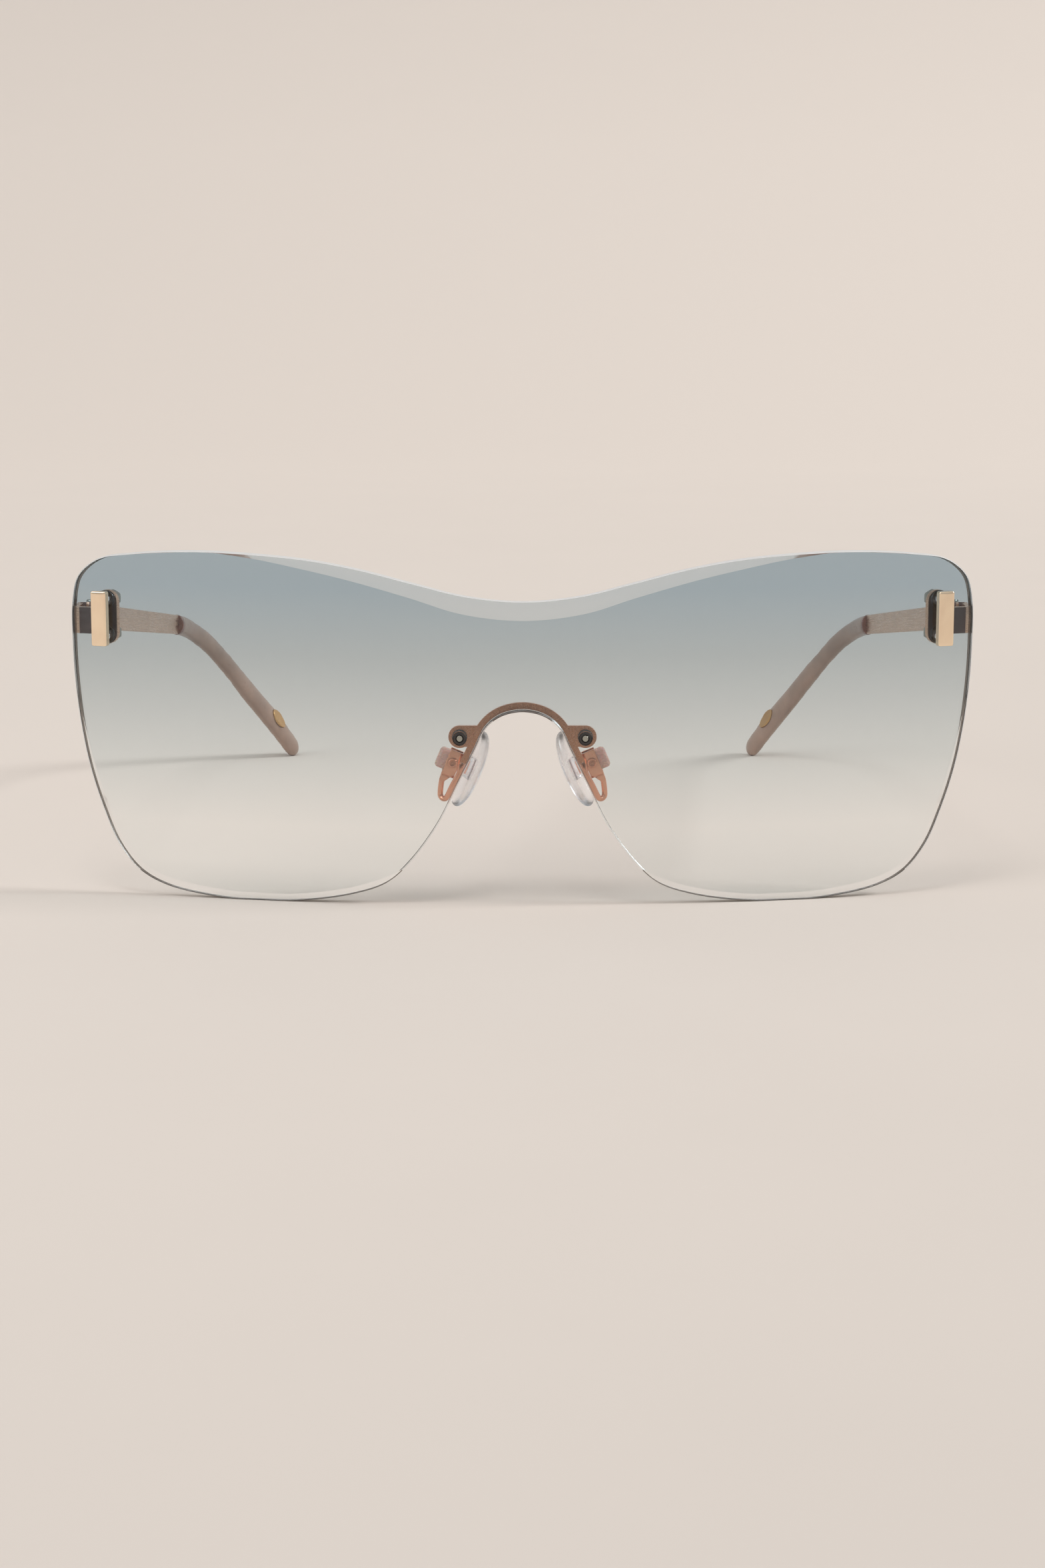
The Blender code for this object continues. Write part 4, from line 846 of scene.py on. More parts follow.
def sunk_screw(head, shank_radius, top, bottom):
    """A screw whose head is a rounded rim round a sunk centre with a small boss."""
    radius, height = head
    rim = radius * SUNK_RIM_SHARE
    sink = top - height * SINK_SHARE
    inner = radius - 2 * rim
    profile = [
        *((inner * outward, sink + height * upward) for outward, upward in BOSS_SHARES),
        *arc((radius - rim, top - rim), rim, math.pi, 0.0, steps=12),
        (radius, top - height),
        (shank_radius, top - height),
        (shank_radius, bottom),
        (0.0, bottom),
    ]
    return turned(profile)


def flanged_sleeve(bore, flange_radius, top, flange_top):
    """A sleeve from top down to its flange, its rims rolled over."""
    outer = bore + SLEEVE_WALL
    bottom = flange_top - FLANGE_THICKNESS
    roll = FLANGE_THICKNESS / 3
    profile = [
        (outer - roll / 2, top),
        (outer, top - roll / 2),
        (outer, flange_top),
        *arc((flange_radius - roll, flange_top - roll), roll, math.pi / 2, 0.0, steps=4),
        *arc((flange_radius - roll, bottom + roll), roll, 0.0, -math.pi / 2, steps=4),
        (bore, bottom),
        (bore, top),
    ]
    return turned(profile)


# Finishes


def add_node(tree, kind, inputs=None, **settings):
    """Adds a node with its settings. Each input takes a value or the output that feeds it."""
    node = tree.nodes.new(kind)
    for name, value in settings.items():
        setattr(node, name, value)
    for name, value in (inputs or {}).items():
        if isinstance(value, bpy.types.NodeSocket):
            tree.links.new(value, node.inputs[name])
        else:
            node.inputs[name].default_value = value
    return node


def new_finish(name, colour, constants):
    """A material whose shader has its constants on its own sockets, its tree and its shader."""
    material = bpy.data.materials.new(name)
    material.use_nodes = True
    shader = material.node_tree.nodes["Principled BSDF"]
    if colour is not None:
        shader.inputs["Base Color"].default_value = material.diffuse_color = (*colour, 1.0)
    for socket, value in constants.items():
        shader.inputs[socket].default_value = value
    return material, material.node_tree, shader


def grain(tree, millimetres, stretch=(1.0, 1.0, 1.0), tilt=0.0, detail=3.0):
    """Noise on the piece's own coordinates: features of a size, drawn out along each axis by a stretch."""
    place = add_node(tree, "ShaderNodeTexCoord").outputs["Object"]
    scale = tuple(millimetres * MM * part for part in stretch)
    mapping = add_node(
        tree,
        "ShaderNodeMapping",
        {"Vector": place, "Rotation": (-tilt, 0.0, 0.0), "Scale": scale},
        vector_type="TEXTURE",
    )
    noise = {"Vector": mapping.outputs["Vector"], "Scale": 1.0, "Detail": detail, "Roughness": 0.6}
    return add_node(tree, "ShaderNodeTexNoise", noise).outputs["Fac"]


def along_axis(tree, coordinates, axis, span, result):
    """How far a point lies along an axis of some coordinates, a span of it spread over a result."""
    place = add_node(tree, "ShaderNodeTexCoord").outputs[coordinates]
    split = add_node(tree, "ShaderNodeSeparateXYZ", {"Vector": place}).outputs[axis]
    limits = {"From Min": span[0], "From Max": span[1], "To Min": result[0], "To Max": result[1]}
    return add_node(tree, "ShaderNodeMapRange", {"Value": split, **limits}).outputs["Result"]


def blend_colours(tree, fac, *stops):
    """A colour ramp from stops (position, linear colour)."""
    ramp = add_node(tree, "ShaderNodeValToRGB", {"Fac": fac})
    elements = ramp.color_ramp.elements
    for element, (position, colour) in zip(elements, (stops[0], stops[-1])):
        element.position = position
        element.color = (*colour, 1.0)
    for position, colour in stops[1:-1]:
        elements.new(position).color = (*colour, 1.0)
    return ramp.outputs["Color"]


def shade(colour, amount):
    return [min(part * amount, 1.0) for part in colour]


def set_tone(tree, shader, noise, colour, dark, light):
    """Clouds a colour between two shades of it, as a noise says."""
    stops = [(at, shade(colour, amount)) for at, amount in zip(NOISE_SPAN, (dark, light))]
    tree.links.new(blend_colours(tree, noise, *stops), shader.inputs["Base Color"])


def set_surface(tree, shader, noise, smooth, rough, height_mm=0.0):
    """Varies the roughness between two values as a noise says, and can give the noise a relief."""
    low, high = NOISE_SPAN
    limits = {"From Min": low, "From Max": high, "To Min": smooth, "To Max": rough}
    gloss = add_node(tree, "ShaderNodeMapRange", {"Value": noise, **limits})
    tree.links.new(gloss.outputs["Result"], shader.inputs["Roughness"])
    if height_mm:
        relief = {"Height": noise, "Strength": 1.0, "Distance": height_mm * MM}
        bump = add_node(tree, "ShaderNodeBump", relief)
        tree.links.new(bump.outputs["Normal"], shader.inputs["Normal"])


def let_light_through(tree, shader, colour):
    """Lets the lamps shine through a clear piece, so that it casts the faint shadow of its tint."""
    path = add_node(tree, "ShaderNodeLightPath").outputs["Is Shadow Ray"]
    clear = add_node(tree, "ShaderNodeBsdfTransparent", {"Color": (*colour, 1.0)}).outputs["BSDF"]
    both = add_node(tree, "ShaderNodeMixShader", {0: path, 1: shader.outputs["BSDF"], 2: clear})
    tree.links.new(both.outputs["Shader"], tree.nodes["Material Output"].inputs["Surface"])


def metal_finish(name, colour, roughness, grain_mm, height_mm, stretch=(1.0, 1.0, 1.0), tilt=0.0):
    """A metal: fine grain in its gloss and relief, and broad, faint patches in its tone."""
    material, tree, shader = new_finish(name, colour, {"Metallic": 1.0})
    set_tone(tree, shader, grain(tree, 4.0, detail=2.0), colour, dark=0.93, light=1.05)
    fine = grain(tree, grain_mm, stretch, tilt)
    set_surface(tree, shader, fine, roughness * 0.75, roughness * 1.3, height_mm)
    return material


def worked_edge(name, colour, transmission, grain_mm, stretch, smooth, rough):
    """Polycarbonate where the sheet was worked after moulding: the strokes of the tool show in its gloss."""
    material, tree, shader = new_finish(name, colour, {"IOR": 1.5, "Transmission Weight": transmission})
    set_surface(tree, shader, grain(tree, grain_mm, stretch), smooth, rough)
    return material


def clear_moulding(name, colour, roughness, ior, ripple_mm, height_mm, transmission=1.0):
    """A clear moulded plastic or rubber: a little haze, and the slow ripple of a mould's surface."""
    material, tree, shader = new_finish(name, colour, {"IOR": ior, "Transmission Weight": transmission})
    ripple = grain(tree, ripple_mm, detail=1.0)
    set_surface(tree, shader, ripple, roughness * 0.6, roughness * 1.4, height_mm)
    return material


def tumbled_acetate(name, colour, depth, roughness):
    """Cellulose acetate, tumbled to a soft gloss: light sinks in, and the tone clouds along the length."""
    constants = {
        "IOR": 1.47,
        "Subsurface Weight": depth,
        "Subsurface Radius": (1.0, 0.7, 0.5),
        "Subsurface Scale": 1.2 * MM,
        "Coat Weight": 0.25,
        "Coat Roughness": 0.15,
    }
    material, tree, shader = new_finish(name, colour, constants)
    set_tone(tree, shader, grain(tree, 3.5, (1.0, 2.5, 1.5)), colour, dark=0.82, light=1.16)
    fine = grain(tree, 0.4, detail=2.0)
    set_surface(tree, shader, fine, roughness * 0.8, roughness * 1.25, height_mm=0.003)
    return material


def dyed_polycarbonate(scene):
    """Moulded polycarbonate with a gradient dip dye on both faces and a hard, glossy coat.

    The eye sees a grey-blue brow that fades to clear above the lower edge.
    """
    tints = scene.lens_settings
    constants = {"Roughness": 0.0, "IOR": 1.5, "Transmission Weight": 1.0}
    material, tree, shader = new_finish("Dip-dyed polycarbonate, hard coated", None, constants)
    tint = blend_colours(
        tree,
        along_axis(tree, "Object", "Z", (0.0, LENS_HEIGHT), (0.0, 1.0)),
        (0.22, tints.clear_tint),
        (0.40, tints.low_tint),
        (0.56, tints.middle_tint),
        (0.71, tints.high_tint),
        (0.90, tints.brow_tint),
    )
    tree.links.new(tint, shader.inputs["Base Color"])
    let_light_through(tree, shader, shade(tints.low_tint, 0.72))
    return material


def ground_polycarbonate(scene):
    """The same sheet where the dye is ground off and the edge polished: clear, with faint grinding lines."""
    tint = scene.lens_settings.ground_tint
    material = worked_edge(
        "Clear polycarbonate, ground and polished",
        tint,
        transmission=1.0,
        grain_mm=0.35,
        stretch=(1.0, 1.0, 12.0),
        smooth=0.02,
        rough=0.10,
    )
    tree = material.node_tree
    let_light_through(tree, tree.nodes["Principled BSDF"], shade(tint, 0.5))
    return material


def shaded_edge_polycarbonate(scene):
    """The sheet's edge wall, ground and flame polished, coloured dark as painted shade: a dark line round the
    lens, on the faces of the edge that the painted highlight leaves and on all that point down.
    """
    return worked_edge(
        "Polycarbonate, edge dyed and polished",
        scene.lens_settings.edge_shade_tint,
        transmission=0.6,
        grain_mm=0.25,
        stretch=(12.0, 1.0, 12.0),
        smooth=0.10,
        rough=0.25,
    )


def frosted_highlight_polycarbonate(scene):
    """Frosted polycarbonate, as where the sheet's corner is broken with a fine stone, and a painted
    highlight: this white line goes on the corner at the sides and on the edge wall on top, where the edge
    catches the light.
    """
    return worked_edge(
        "Polycarbonate, seamed with a fine stone",
        scene.lens_settings.frost_and_highlight_tint,
        transmission=0.35,
        grain_mm=0.15,
        stretch=(1.0, 1.0, 1.0),
        smooth=0.35,
        rough=0.6,
    )


def gold_plate(scene):
    """Brass, buffed and plated with pale gold: a bright, warm mirror with the haze of fine buffing."""
    name, colour, stretch = "Brass, buffed and gold plated", scene.metal_settings.gold, (1.0, 1.0, 10.0)
    return metal_finish(name, colour, roughness=0.14, grain_mm=0.25, height_mm=0.0005, stretch=stretch)


def satin_brass(scene):
    """Brass, satin and lacquered: the deeper, browner gold of the plates in the tips."""
    name, colour = "Brass, satin and lacquered", scene.metal_settings.brass
    return metal_finish(name, colour, roughness=0.32, grain_mm=0.25, height_mm=0.0008)


def satin_rose_plate(scene):
    """Nickel silver, sanded satin and plated with rose gold: an even, quiet brown-copper face."""
    name, colour = "Nickel silver, satin and rose gold plated", scene.metal_settings.satin_rose
    return metal_finish(name, colour, roughness=0.28, grain_mm=0.16, height_mm=0.0004)


def polished_rose_plate(scene):
    """Nickel silver, polished and plated with rose gold: coppery, with sharp lights, and painted shade
    darkening its creases and the places where pieces meet.
    """
    name, colour = "Nickel silver, polished and rose gold plated", scene.metal_settings.rose_gold
    material = metal_finish(name, colour, roughness=0.09, grain_mm=0.30, height_mm=0.0006)
    tree = material.node_tree
    socket = tree.nodes["Principled BSDF"].inputs["Base Color"]
    # Painted shade: ambient occlusion within 0.9 mm darkens the colour toward #816559 in creases and where
    # pieces meet
    fold_shade_mask = add_node(tree, "ShaderNodeAmbientOcclusion", {"Distance": 0.9 * MM}).outputs["AO"]
    depth = blend_colours(tree, fold_shade_mask, (0.25, linear("#816559")), (0.85, linear("#FFFFFF")))
    layers = {6: socket.links[0].from_socket, 7: depth, 0: 1.0}
    tone = add_node(tree, "ShaderNodeMix", layers, data_type="RGBA", blend_type="MULTIPLY")
    tree.links.new(tone.outputs[2], socket)
    return material


def bronze_plate(scene):
    """Stainless spring steel, brushed lengthwise under a bronze-grey plating: long, soft streaks of light."""
    return metal_finish(
        "Spring steel, brushed and bronze plated",
        scene.metal_settings.bronze,
        roughness=0.28,
        grain_mm=0.16,
        height_mm=0.0010,
        stretch=(10.0, 40.0, 1.0),
        tilt=HINGE_TILT,
    )


def painted_shade_plate(scene):
    """The same steel where it faces the lens, dark brown-black as painted shade: deep, with a glossy skin."""
    name, colour = "Steel, stamped and black-brown lacquered", scene.metal_settings.shaded_face_colour
    material = metal_finish(name, colour, roughness=0.22, grain_mm=0.20, height_mm=0.0008)
    shader = material.node_tree.nodes["Principled BSDF"]
    shader.inputs["Metallic"].default_value = 0.6
    shader.inputs["Coat Weight"].default_value = 0.5
    shader.inputs["Coat Roughness"].default_value = 0.08
    return material


def turned_steel(scene):
    """Stainless steel, turned and left bright: crisp glints on every flat."""
    name, colour = "Stainless steel, turned and bright", scene.metal_settings.steel
    return metal_finish(name, colour, roughness=0.14, grain_mm=0.12, height_mm=0.0006)


def clear_nylon(scene):
    """Nylon, moulded natural: colourless with a faint milkiness."""
    name, colour = "Nylon, moulded clear", scene.plastic_settings.sleeve
    return clear_moulding(name, colour, roughness=0.12, ior=1.52, ripple_mm=0.6, height_mm=0.002)


def dark_nylon(scene):
    """Nylon, moulded black: a close, soft sheen."""
    name, colour = "Nylon, moulded black", scene.plastic_settings.dark_sleeve
    return tumbled_acetate(name, colour, depth=0.0, roughness=0.35)


def clear_silicone(scene):
    """Silicone rubber, moulded soft: nearly colourless, bright at its rims, slightly wavy."""
    name, colour = "Silicone rubber, moulded clear", scene.plastic_settings.pad
    return clear_moulding(name, colour, roughness=0.20, ior=1.41, ripple_mm=2.0, height_mm=0.008)


def pink_polycarbonate(scene):
    """Polycarbonate, moulded pink-clear: a milky core that glows a little."""
    material = clear_moulding(
        "Polycarbonate, moulded pink",
        scene.plastic_settings.lug,
        roughness=0.28,
        ior=1.55,
        ripple_mm=0.8,
        height_mm=0.004,
        transmission=0.25,
    )
    shader = material.node_tree.nodes["Principled BSDF"]
    shader.inputs["Subsurface Weight"].default_value = 0.5
    shader.inputs["Subsurface Scale"].default_value = 0.8 * MM
    return material


def clear_polycarbonate(scene):
    """The same core inside the pad, where it is left clear and all but vanishes."""
    name, colour = "Polycarbonate, moulded clear", scene.plastic_settings.pad
    return clear_moulding(name, colour, roughness=0.10, ior=1.45, ripple_mm=0.8, height_mm=0.002)


def taupe_acetate(scene):
    """Cellulose acetate, tumbled: see-through taupe that darkens where it is thick."""
    name, colour = "Cellulose acetate, tumbled taupe", scene.plastic_settings.tip
    return tumbled_acetate(name, colour, depth=0.35, roughness=0.32)


def red_brown_acetate(scene):
    """Cellulose acetate, cut and polished: a red-brown ring."""
    name, colour = "Cellulose acetate, polished red-brown", scene.plastic_settings.collar
    return tumbled_acetate(name, colour, depth=0.15, roughness=0.25)


MADE = {}


def finish(builder):
    """One of the finishes above, made when a piece first asks for it and shared by the others."""
    material = bpy.data.materials.get(MADE.get(builder, ""))
    if material is None:
        material = builder(bpy.context.scene)
        MADE[builder] = material.name
    return material


# Settings


def colour_setting(label, code, text):
    return FloatVectorProperty(
        name=label, description=text, subtype="COLOR", size=3, min=0.0, max=1.0, default=linear(code)
    )


def stage_setting(label, text, value, unit="NONE", low=0.0):
    return FloatProperty(name=label, description=text, unit=unit, default=value, min=low)


class LensSettings(bpy.types.PropertyGroup):
    clear_tint: colour_setting("Lower edge", "#FCFFFF", "What passes through both faces near the lower edge")
    low_tint: colour_setting("Low", "#E8F0F2", "What passes through both faces at two fifths of the height")
    middle_tint: colour_setting("Middle", "#D5DFE3", "What passes through both faces at the middle")
    high_tint: colour_setting("High", "#C2CFD5", "What passes through both faces at three quarters")
    brow_tint: colour_setting("Brow", "#AFC3D0", "What passes through both faces at the brow")
    ground_tint: colour_setting("Ground facet", "#FFFFFF", "The clear sheet where its dye is ground off")
    # Partly a real frosted finish, partly a painted highlight on the faces of the edge that catch the light
    frost_and_highlight_tint: colour_setting("Frosted corner", "#EDECEB", "The outermost corner, broken with a fine stone")
    # Painted shade: the dark colour put on the edge wall
    edge_shade_tint: colour_setting("Edge wall", "#5F5750", "The edge all round, where the dye has soaked in")
    thickness: FloatProperty(
        name="Thickness", description="Thickness of the sheet", unit="LENGTH", default=LENS_THICKNESS
    )


class MetalSettings(bpy.types.PropertyGroup):
    gold: colour_setting("Gold plate", "#FEE5C8", "The bars on the front")
    brass: colour_setting("Satin brass", "#D2A76F", "The plates let into the temple tips")
    satin_rose: colour_setting("Satin rose gold", "#CC8D6C", "The face of the nose bracket")
    rose_gold: colour_setting("Polished rose gold", "#E0A184", "The pad arms and their screws")
    bronze: colour_setting("Bronze plate", "#DDB79C", "The temples and the cut edges of the endpieces")
    # Painted shade on the endpieces' faces toward the lens
    shaded_face_colour: colour_setting("Lacquer", "#7A544B", "The faces of the endpieces")
    steel: colour_setting("Steel", "#A5A59C", "Screws and nuts")
    edge: FloatProperty(
        name="Rolled edge",
        description="How far the endpieces' edges are rolled over",
        unit="LENGTH",
        default=0.0001,
    )


class PlasticSettings(bpy.types.PropertyGroup):
    sleeve: colour_setting("Clear sleeve", "#EDF0EE", "The flanged sleeves behind the gold bars")
    dark_sleeve: colour_setting("Dark sleeve", "#2B2624", "The sleeves round the bracket's screws")
    pad: colour_setting("Nose pad", "#FBFCFF", "The soft nose pads")
    lug: colour_setting("Pad core", "#FBC9B8", "The hard cores of the nose pads")
    tip: colour_setting("Temple tip", "#A38473", "The temple tips")
    collar: colour_setting("Collar", "#7A4636", "The rings between temples and tips")


class StageSettings(bpy.types.PropertyGroup):
    paper: colour_setting("Backdrop", "#E0D6CD", "The seamless paper under and behind the sunglasses")
    world: stage_setting("World", "Strength of the light from all round", 0.61)
    key: stage_setting("Key lamp", "Power of the large lamp on the right", 113.0, unit="POWER")
    fill: stage_setting("Fill lamp", "Power of the card on the left", 4.0, unit="POWER")
    strip: stage_setting("Strip lamp", "Power of the small lamp overhead", 1.2, unit="POWER")
    focal_length: stage_setting("Focal length", "The camera's lens in millimetres", 71.94, low=10.0)
    pitch: stage_setting("Pitch", "Degrees by which the camera looks down", 9.945)


# Operators


class EYEWEAR_OT_shield_lens(bpy.types.Operator):
    """Adds the curved shield, ground along its brow and lower edge and drilled for its fasteners."""

    bl_idname = "eyewear.shield_lens"
    bl_label = "Shield Lens"

    def execute(self, context):
        thickness = context.scene.lens_settings.thickness
        lens = new_piece("tinted_shield", placed(self.bent_sheet(thickness)))
        for builder in (dyed_polycarbonate, ground_polycarbonate, frosted_highlight_polycarbonate, shaded_edge_polycarbonate):
            lens.data.materials.append(finish(builder))
        for side in SIDES:
            for height in STUD_HEIGHTS.values():
                hole = rod(SLEEVE_RADIUS + GAP, -thickness - OVERRUN, OVERRUN)
                cut(lens, hole, lens_frame(BAR_X, BAR_Z + height), side)
            cut(lens, rod(BRACKET_BORE + SLEEVE_WALL + GAP, -BRACKET_BACK, OVERRUN), EAR_FRAME, side)
        shade_round(lens, LENS_SMOOTH_ANGLE)
        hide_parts("shield_lens")
        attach(lens, "front")
        return {"FINISHED"}

    def bent_sheet(self, thickness):
        """The sheet, lofted flat from its front to its back, then bent and painted."""
        rim = rim_points()
        rings = []
        # A ring's depth and its distance from the rim: each a share of the facet's width and a length
        for slope, depth, share, inset in (
            (0.0, 0.0, 1.0, SEAM_WIDTH),
            (FACET_SLOPE, 0.0, 0.0, SEAM_WIDTH),
            (FACET_SLOPE, SEAM_WIDTH * SEAM_SLOPE, 0.0, 0.0),
            (0.0, thickness - LENS_EDGE_BEVEL, 0.0, 0.0),
            (0.0, thickness, 0.0, LENS_EDGE_BEVEL),
        ):
            ring = []
            for point, outward in zip(rim, rim_normals(rim)):
                inward = point.z * share + inset
                x, z = point.x - outward.x * inward, point.y - outward.y * inward
                ring.append(Vector((x, point.z * slope + depth, z)))
            rings.append(ring)
        shape = loft(rings)
        steps = int(LENS_HALF_WIDTH / BEND_STEP)
        for step in range(-steps, steps + 1):
            divide(shape, 0, step * BEND_STEP)
        for face in shape.faces:
            face.material_index = self.finish_index(face.normal)
        for vert in shape.verts:
            vert.co = lens_frame(vert.co.x, vert.co.z, vert.co.y).translation
        return shape

    def finish_index(self, normal):
        """Dyed faces, clear facets, and an edge painted for light: the frosted white finish as a painted
        highlight on the corner at the sides and on the wall on top, the dark finish as painted shade on the
        rest and on all faces that point down.
        """
        forward = -normal.y
        if abs(forward) > DYED_FACING:
            return 0
        if forward > FACET_FACING:
            return 1
        # Painted highlight and shade: the normal alone picks the white finish (2) or the dark finish (3)
        corner, above = forward > CORNER_FACING, normal.z > TOP_FACING
        return 3 if normal.z < UNDER_FACING or corner == above else 2


class EYEWEAR_OT_gold_bars(bpy.types.Operator):
    """Adds the two gold bars on the lens's front, each with its two studs."""

    bl_idname = "eyewear.gold_bars"
    bl_label = "Gold Bars"

    def execute(self, context):
        width, height, thickness = BAR_SIZE
        for side, word in SIDES.items():
            shape = sheet(round_cornered(width, height, BAR_CORNER_RADIUS), thickness)
            shape.transform(Matrix.Translation((0.0, 0.0, GAP + thickness / 2)))
            bar = new_piece(f"gold_bar_{word}", shape)
            round_edges(bar, BAR_ROLL, segments=5)
            put_back(self.crowned(shape_of(bar)), bar)
            for y in STUD_HEIGHTS.values():
                combine(bar, "UNION", rod(STUD_RADIUS, -STUD_DEPTH, thickness / 2, y=y, sides=BORE_SIDES))
            put_back(placed(shape_of(bar), lens_frame(BAR_X, BAR_Z), side), bar)
            dress(bar, f"front_plate_{word}", "polished_gold_plate", gold_plate)
        return {"FINISHED"}

    def crowned(self, shape):
        """The bar with the faint crown on its face that buffing leaves."""
        width, height, thickness = BAR_SIZE
        for axis, size, count in ((0, width, 8), (1, height, 16)):
            for k in range(1, count):
                divide(shape, axis, size * (k / count - 0.5))
        for vert in shape.verts:
            if vert.co.z > GAP + thickness * BAR_CROWN_START:
                across = 1.0 - (2.0 * vert.co.x / width) ** 2
                along = 1.0 - (2.0 * vert.co.y / height) ** 2
                vert.co.z += BAR_CROWN * (across * along - 1.0)
        return shape


class EYEWEAR_OT_bar_fasteners(bpy.types.Operator):
    """Adds, for each stud, a clear flanged sleeve in the lens and a hexagon nut behind the endpiece."""

    bl_idname = "eyewear.bar_fasteners"
    bl_label = "Sleeves and Nuts"

    def execute(self, context):
        for side, word in SIDES.items():
            for level, height in STUD_HEIGHTS.items():
                place = lens_frame(BAR_X, BAR_Z + height)
                shape = flanged_sleeve(SLEEVE_BORE, FLANGE_RADIUS, -GAP, -FLANGE_DEPTH)
                sleeve = new_piece(f"clear_sleeve_{level}_{word}", placed(shape, place, side))
                dress(sleeve, f"{level}_plate_bushing_{word}", "clear_nylon", clear_nylon)
                blank = rod(NUT_CORNER_RADIUS, -NUT_DEPTH - NUT_HEIGHT, -NUT_DEPTH, sides=NUT_SIDES)
                nut = new_piece(f"hex_nut_{level}_{word}", placed(blank, place, side))
                combine(nut, "INTERSECT", placed(self.chamfer_shape(), place, side))
                cut(nut, rod(SLEEVE_BORE, -STUD_DEPTH - OVERRUN, 0.0, sides=BORE_SIDES), place, side)
                flatten(nut)
                round_edges(nut, NUT_ROLL, segments=2)
                dress(nut, f"{level}_plate_nut_{word}", "bright_steel", turned_steel)
        return {"FINISHED"}

    def chamfer_shape(self):
        """The turned blank that takes a nut's corners off at its two faces."""
        flats = NUT_ACROSS_FLATS / 2
        drop = (NUT_CORNER_RADIUS - flats) * math.tan(NUT_CHAMFER) + GAP
        top, bottom = -NUT_DEPTH + GAP / 6, -NUT_DEPTH - NUT_HEIGHT - GAP / 6
        beyond = NUT_CORNER_RADIUS + GAP
        upper = [(0.0, top), (flats, top), (beyond, top - drop)]
        return turned([*upper, (beyond, bottom + drop), (flats, bottom), (0.0, bottom)])


class EYEWEAR_OT_endpieces(bpy.types.Operator):
    """Adds the back plates with the straps that bend back to the hinges and their outer knuckles."""

    bl_idname = "eyewear.endpieces"
    bl_label = "Endpieces"

    def execute(self, context):
        plate_place = lens_frame(BAR_X, BAR_Z, PLATE_DEPTH + PLATE_SIZE[2] / 2)
        for side, word in SIDES.items():
            strap = sheet(ribbon(self.strap_path(plate_place), STRAP_THICKNESS), STRAP_HEIGHT)
            level = Matrix.Translation((0.0, 0.0, HINGE_Z))
            endpiece = new_piece(f"endpiece_strap_{word}", placed(strap, level, side))
            far = STRAP_HEIGHT
            cut(endpiece, block((-far, -GAP / 2, -far), (far, 2 * OVERRUN, far)), HINGE_FRAME, side)
            join(endpiece, sheet(round_ended(*PLATE_SIZE[:2]), PLATE_SIZE[2]), plate_place, side)
            low = KNUCKLE_SPLIT + KNUCKLE_GAP
            for middle in ((low + KNUCKLE_TOP) / 2, -(low + KNUCKLE_TOP) / 2):
                knuckle = sheet(knuckle_outline(-1.0), KNUCKLE_TOP - low)
                join(endpiece, knuckle, HINGE_FRAME @ Matrix.Translation((0.0, 0.0, middle)), side)
            for y in STUD_HEIGHTS.values():
                bore = rod(SLEEVE_BORE, -OVERRUN, OVERRUN, y=y, sides=BORE_SIDES)
                cut(endpiece, bore, plate_place, side)
            cut(endpiece, pivot_bore(), HINGE_FRAME, side)
            flatten(endpiece)
            round_edges(endpiece, context.scene.metal_settings.edge, segments=3)
            dress(endpiece, f"endpiece_{word}", "gunmetal_plate", bronze_plate, painted_shade_plate)
            # Painted shade: the faces toward the lens take the dark second finish
            paint(endpiece, 1, lambda centre, normal: normal.y < SHADED_FACE_FACING)
        return {"FINISHED"}

    def strap_path(self, plate_place):
        """The strap's middle line seen from above, from the plate's edge round the corner to the hinge."""
        along = (plate_place.to_3x3() @ Vector((1.0, 0.0, 0.0))).xy
        start = plate_place.translation.xy + along * (PLATE_SIZE[0] / 2 - STRAP_OVERLAP)
        strap_x = STRAP_OUTER_X - STRAP_THICKNESS / 2
        corner = start + along * ((strap_x - start.x) / along.x)
        end = Vector((strap_x, HINGE_Y + OVERRUN))
        return filleted(start, corner, end, STRAP_BEND_RADIUS, steps=24)


class EYEWEAR_OT_pivot_screws(bpy.types.Operator):
    """Adds the slotted screws that the temples turn on."""

    bl_idname = "eyewear.pivot_screws"
    bl_label = "Hinge Screws"

    def execute(self, context):
        top = KNUCKLE_TOP + GAP + PIVOT_HEAD[1]
        for side, word in SIDES.items():
            shape = slotted_screw(PIVOT_HEAD, PIVOT_RADIUS, top, -KNUCKLE_TOP)
            screw = new_piece(f"pivot_screw_{word}", placed(shape, HINGE_FRAME, side))
            dress(screw, f"hinge_screw_{word}", "bright_steel", turned_steel)
        return {"FINISHED"}


class EYEWEAR_OT_temples(bpy.types.Operator):
    """Adds the tapered flat temples with their middle knuckles and core wires."""

    bl_idname = "eyewear.temples"
    bl_label = "Temples"

    def execute(self, context):
        start = (GAP, BAR_MIDDLE, STRAP_HEIGHT)
        end = (TEMPLE_LENGTH - GAP, -TEMPLE_TOE_IN, TEMPLE_END_HEIGHT)
        for side, word in SIDES.items():
            bar = loft([self.bar_ring(*start), self.bar_ring(*end)])
            temple = new_piece(f"temple_bar_{word}", placed(bar, HINGE_FRAME, side))
            round_edges(temple, TEMPLE_ROLL, segments=5)
            join(temple, sheet(knuckle_outline(1.0), 2 * KNUCKLE_SPLIT), HINGE_FRAME, side)
            cut(temple, pivot_bore(), HINGE_FRAME, side)
            join(temple, wire(smooth_curve(core_path(), steps=4), CORE_RADIUS), HINGE_FRAME, side)
            dress(temple, f"temple_{word}", "gunmetal_plate", bronze_plate)
        return {"FINISHED"}

    def bar_ring(self, along, middle, height):
        half = STRAP_THICKNESS / 2
        corners = ((-half, -1), (half, -1), (half, 1), (-half, 1))
        return [Vector((middle + x, along, z * height / 2)) for x, z in corners]


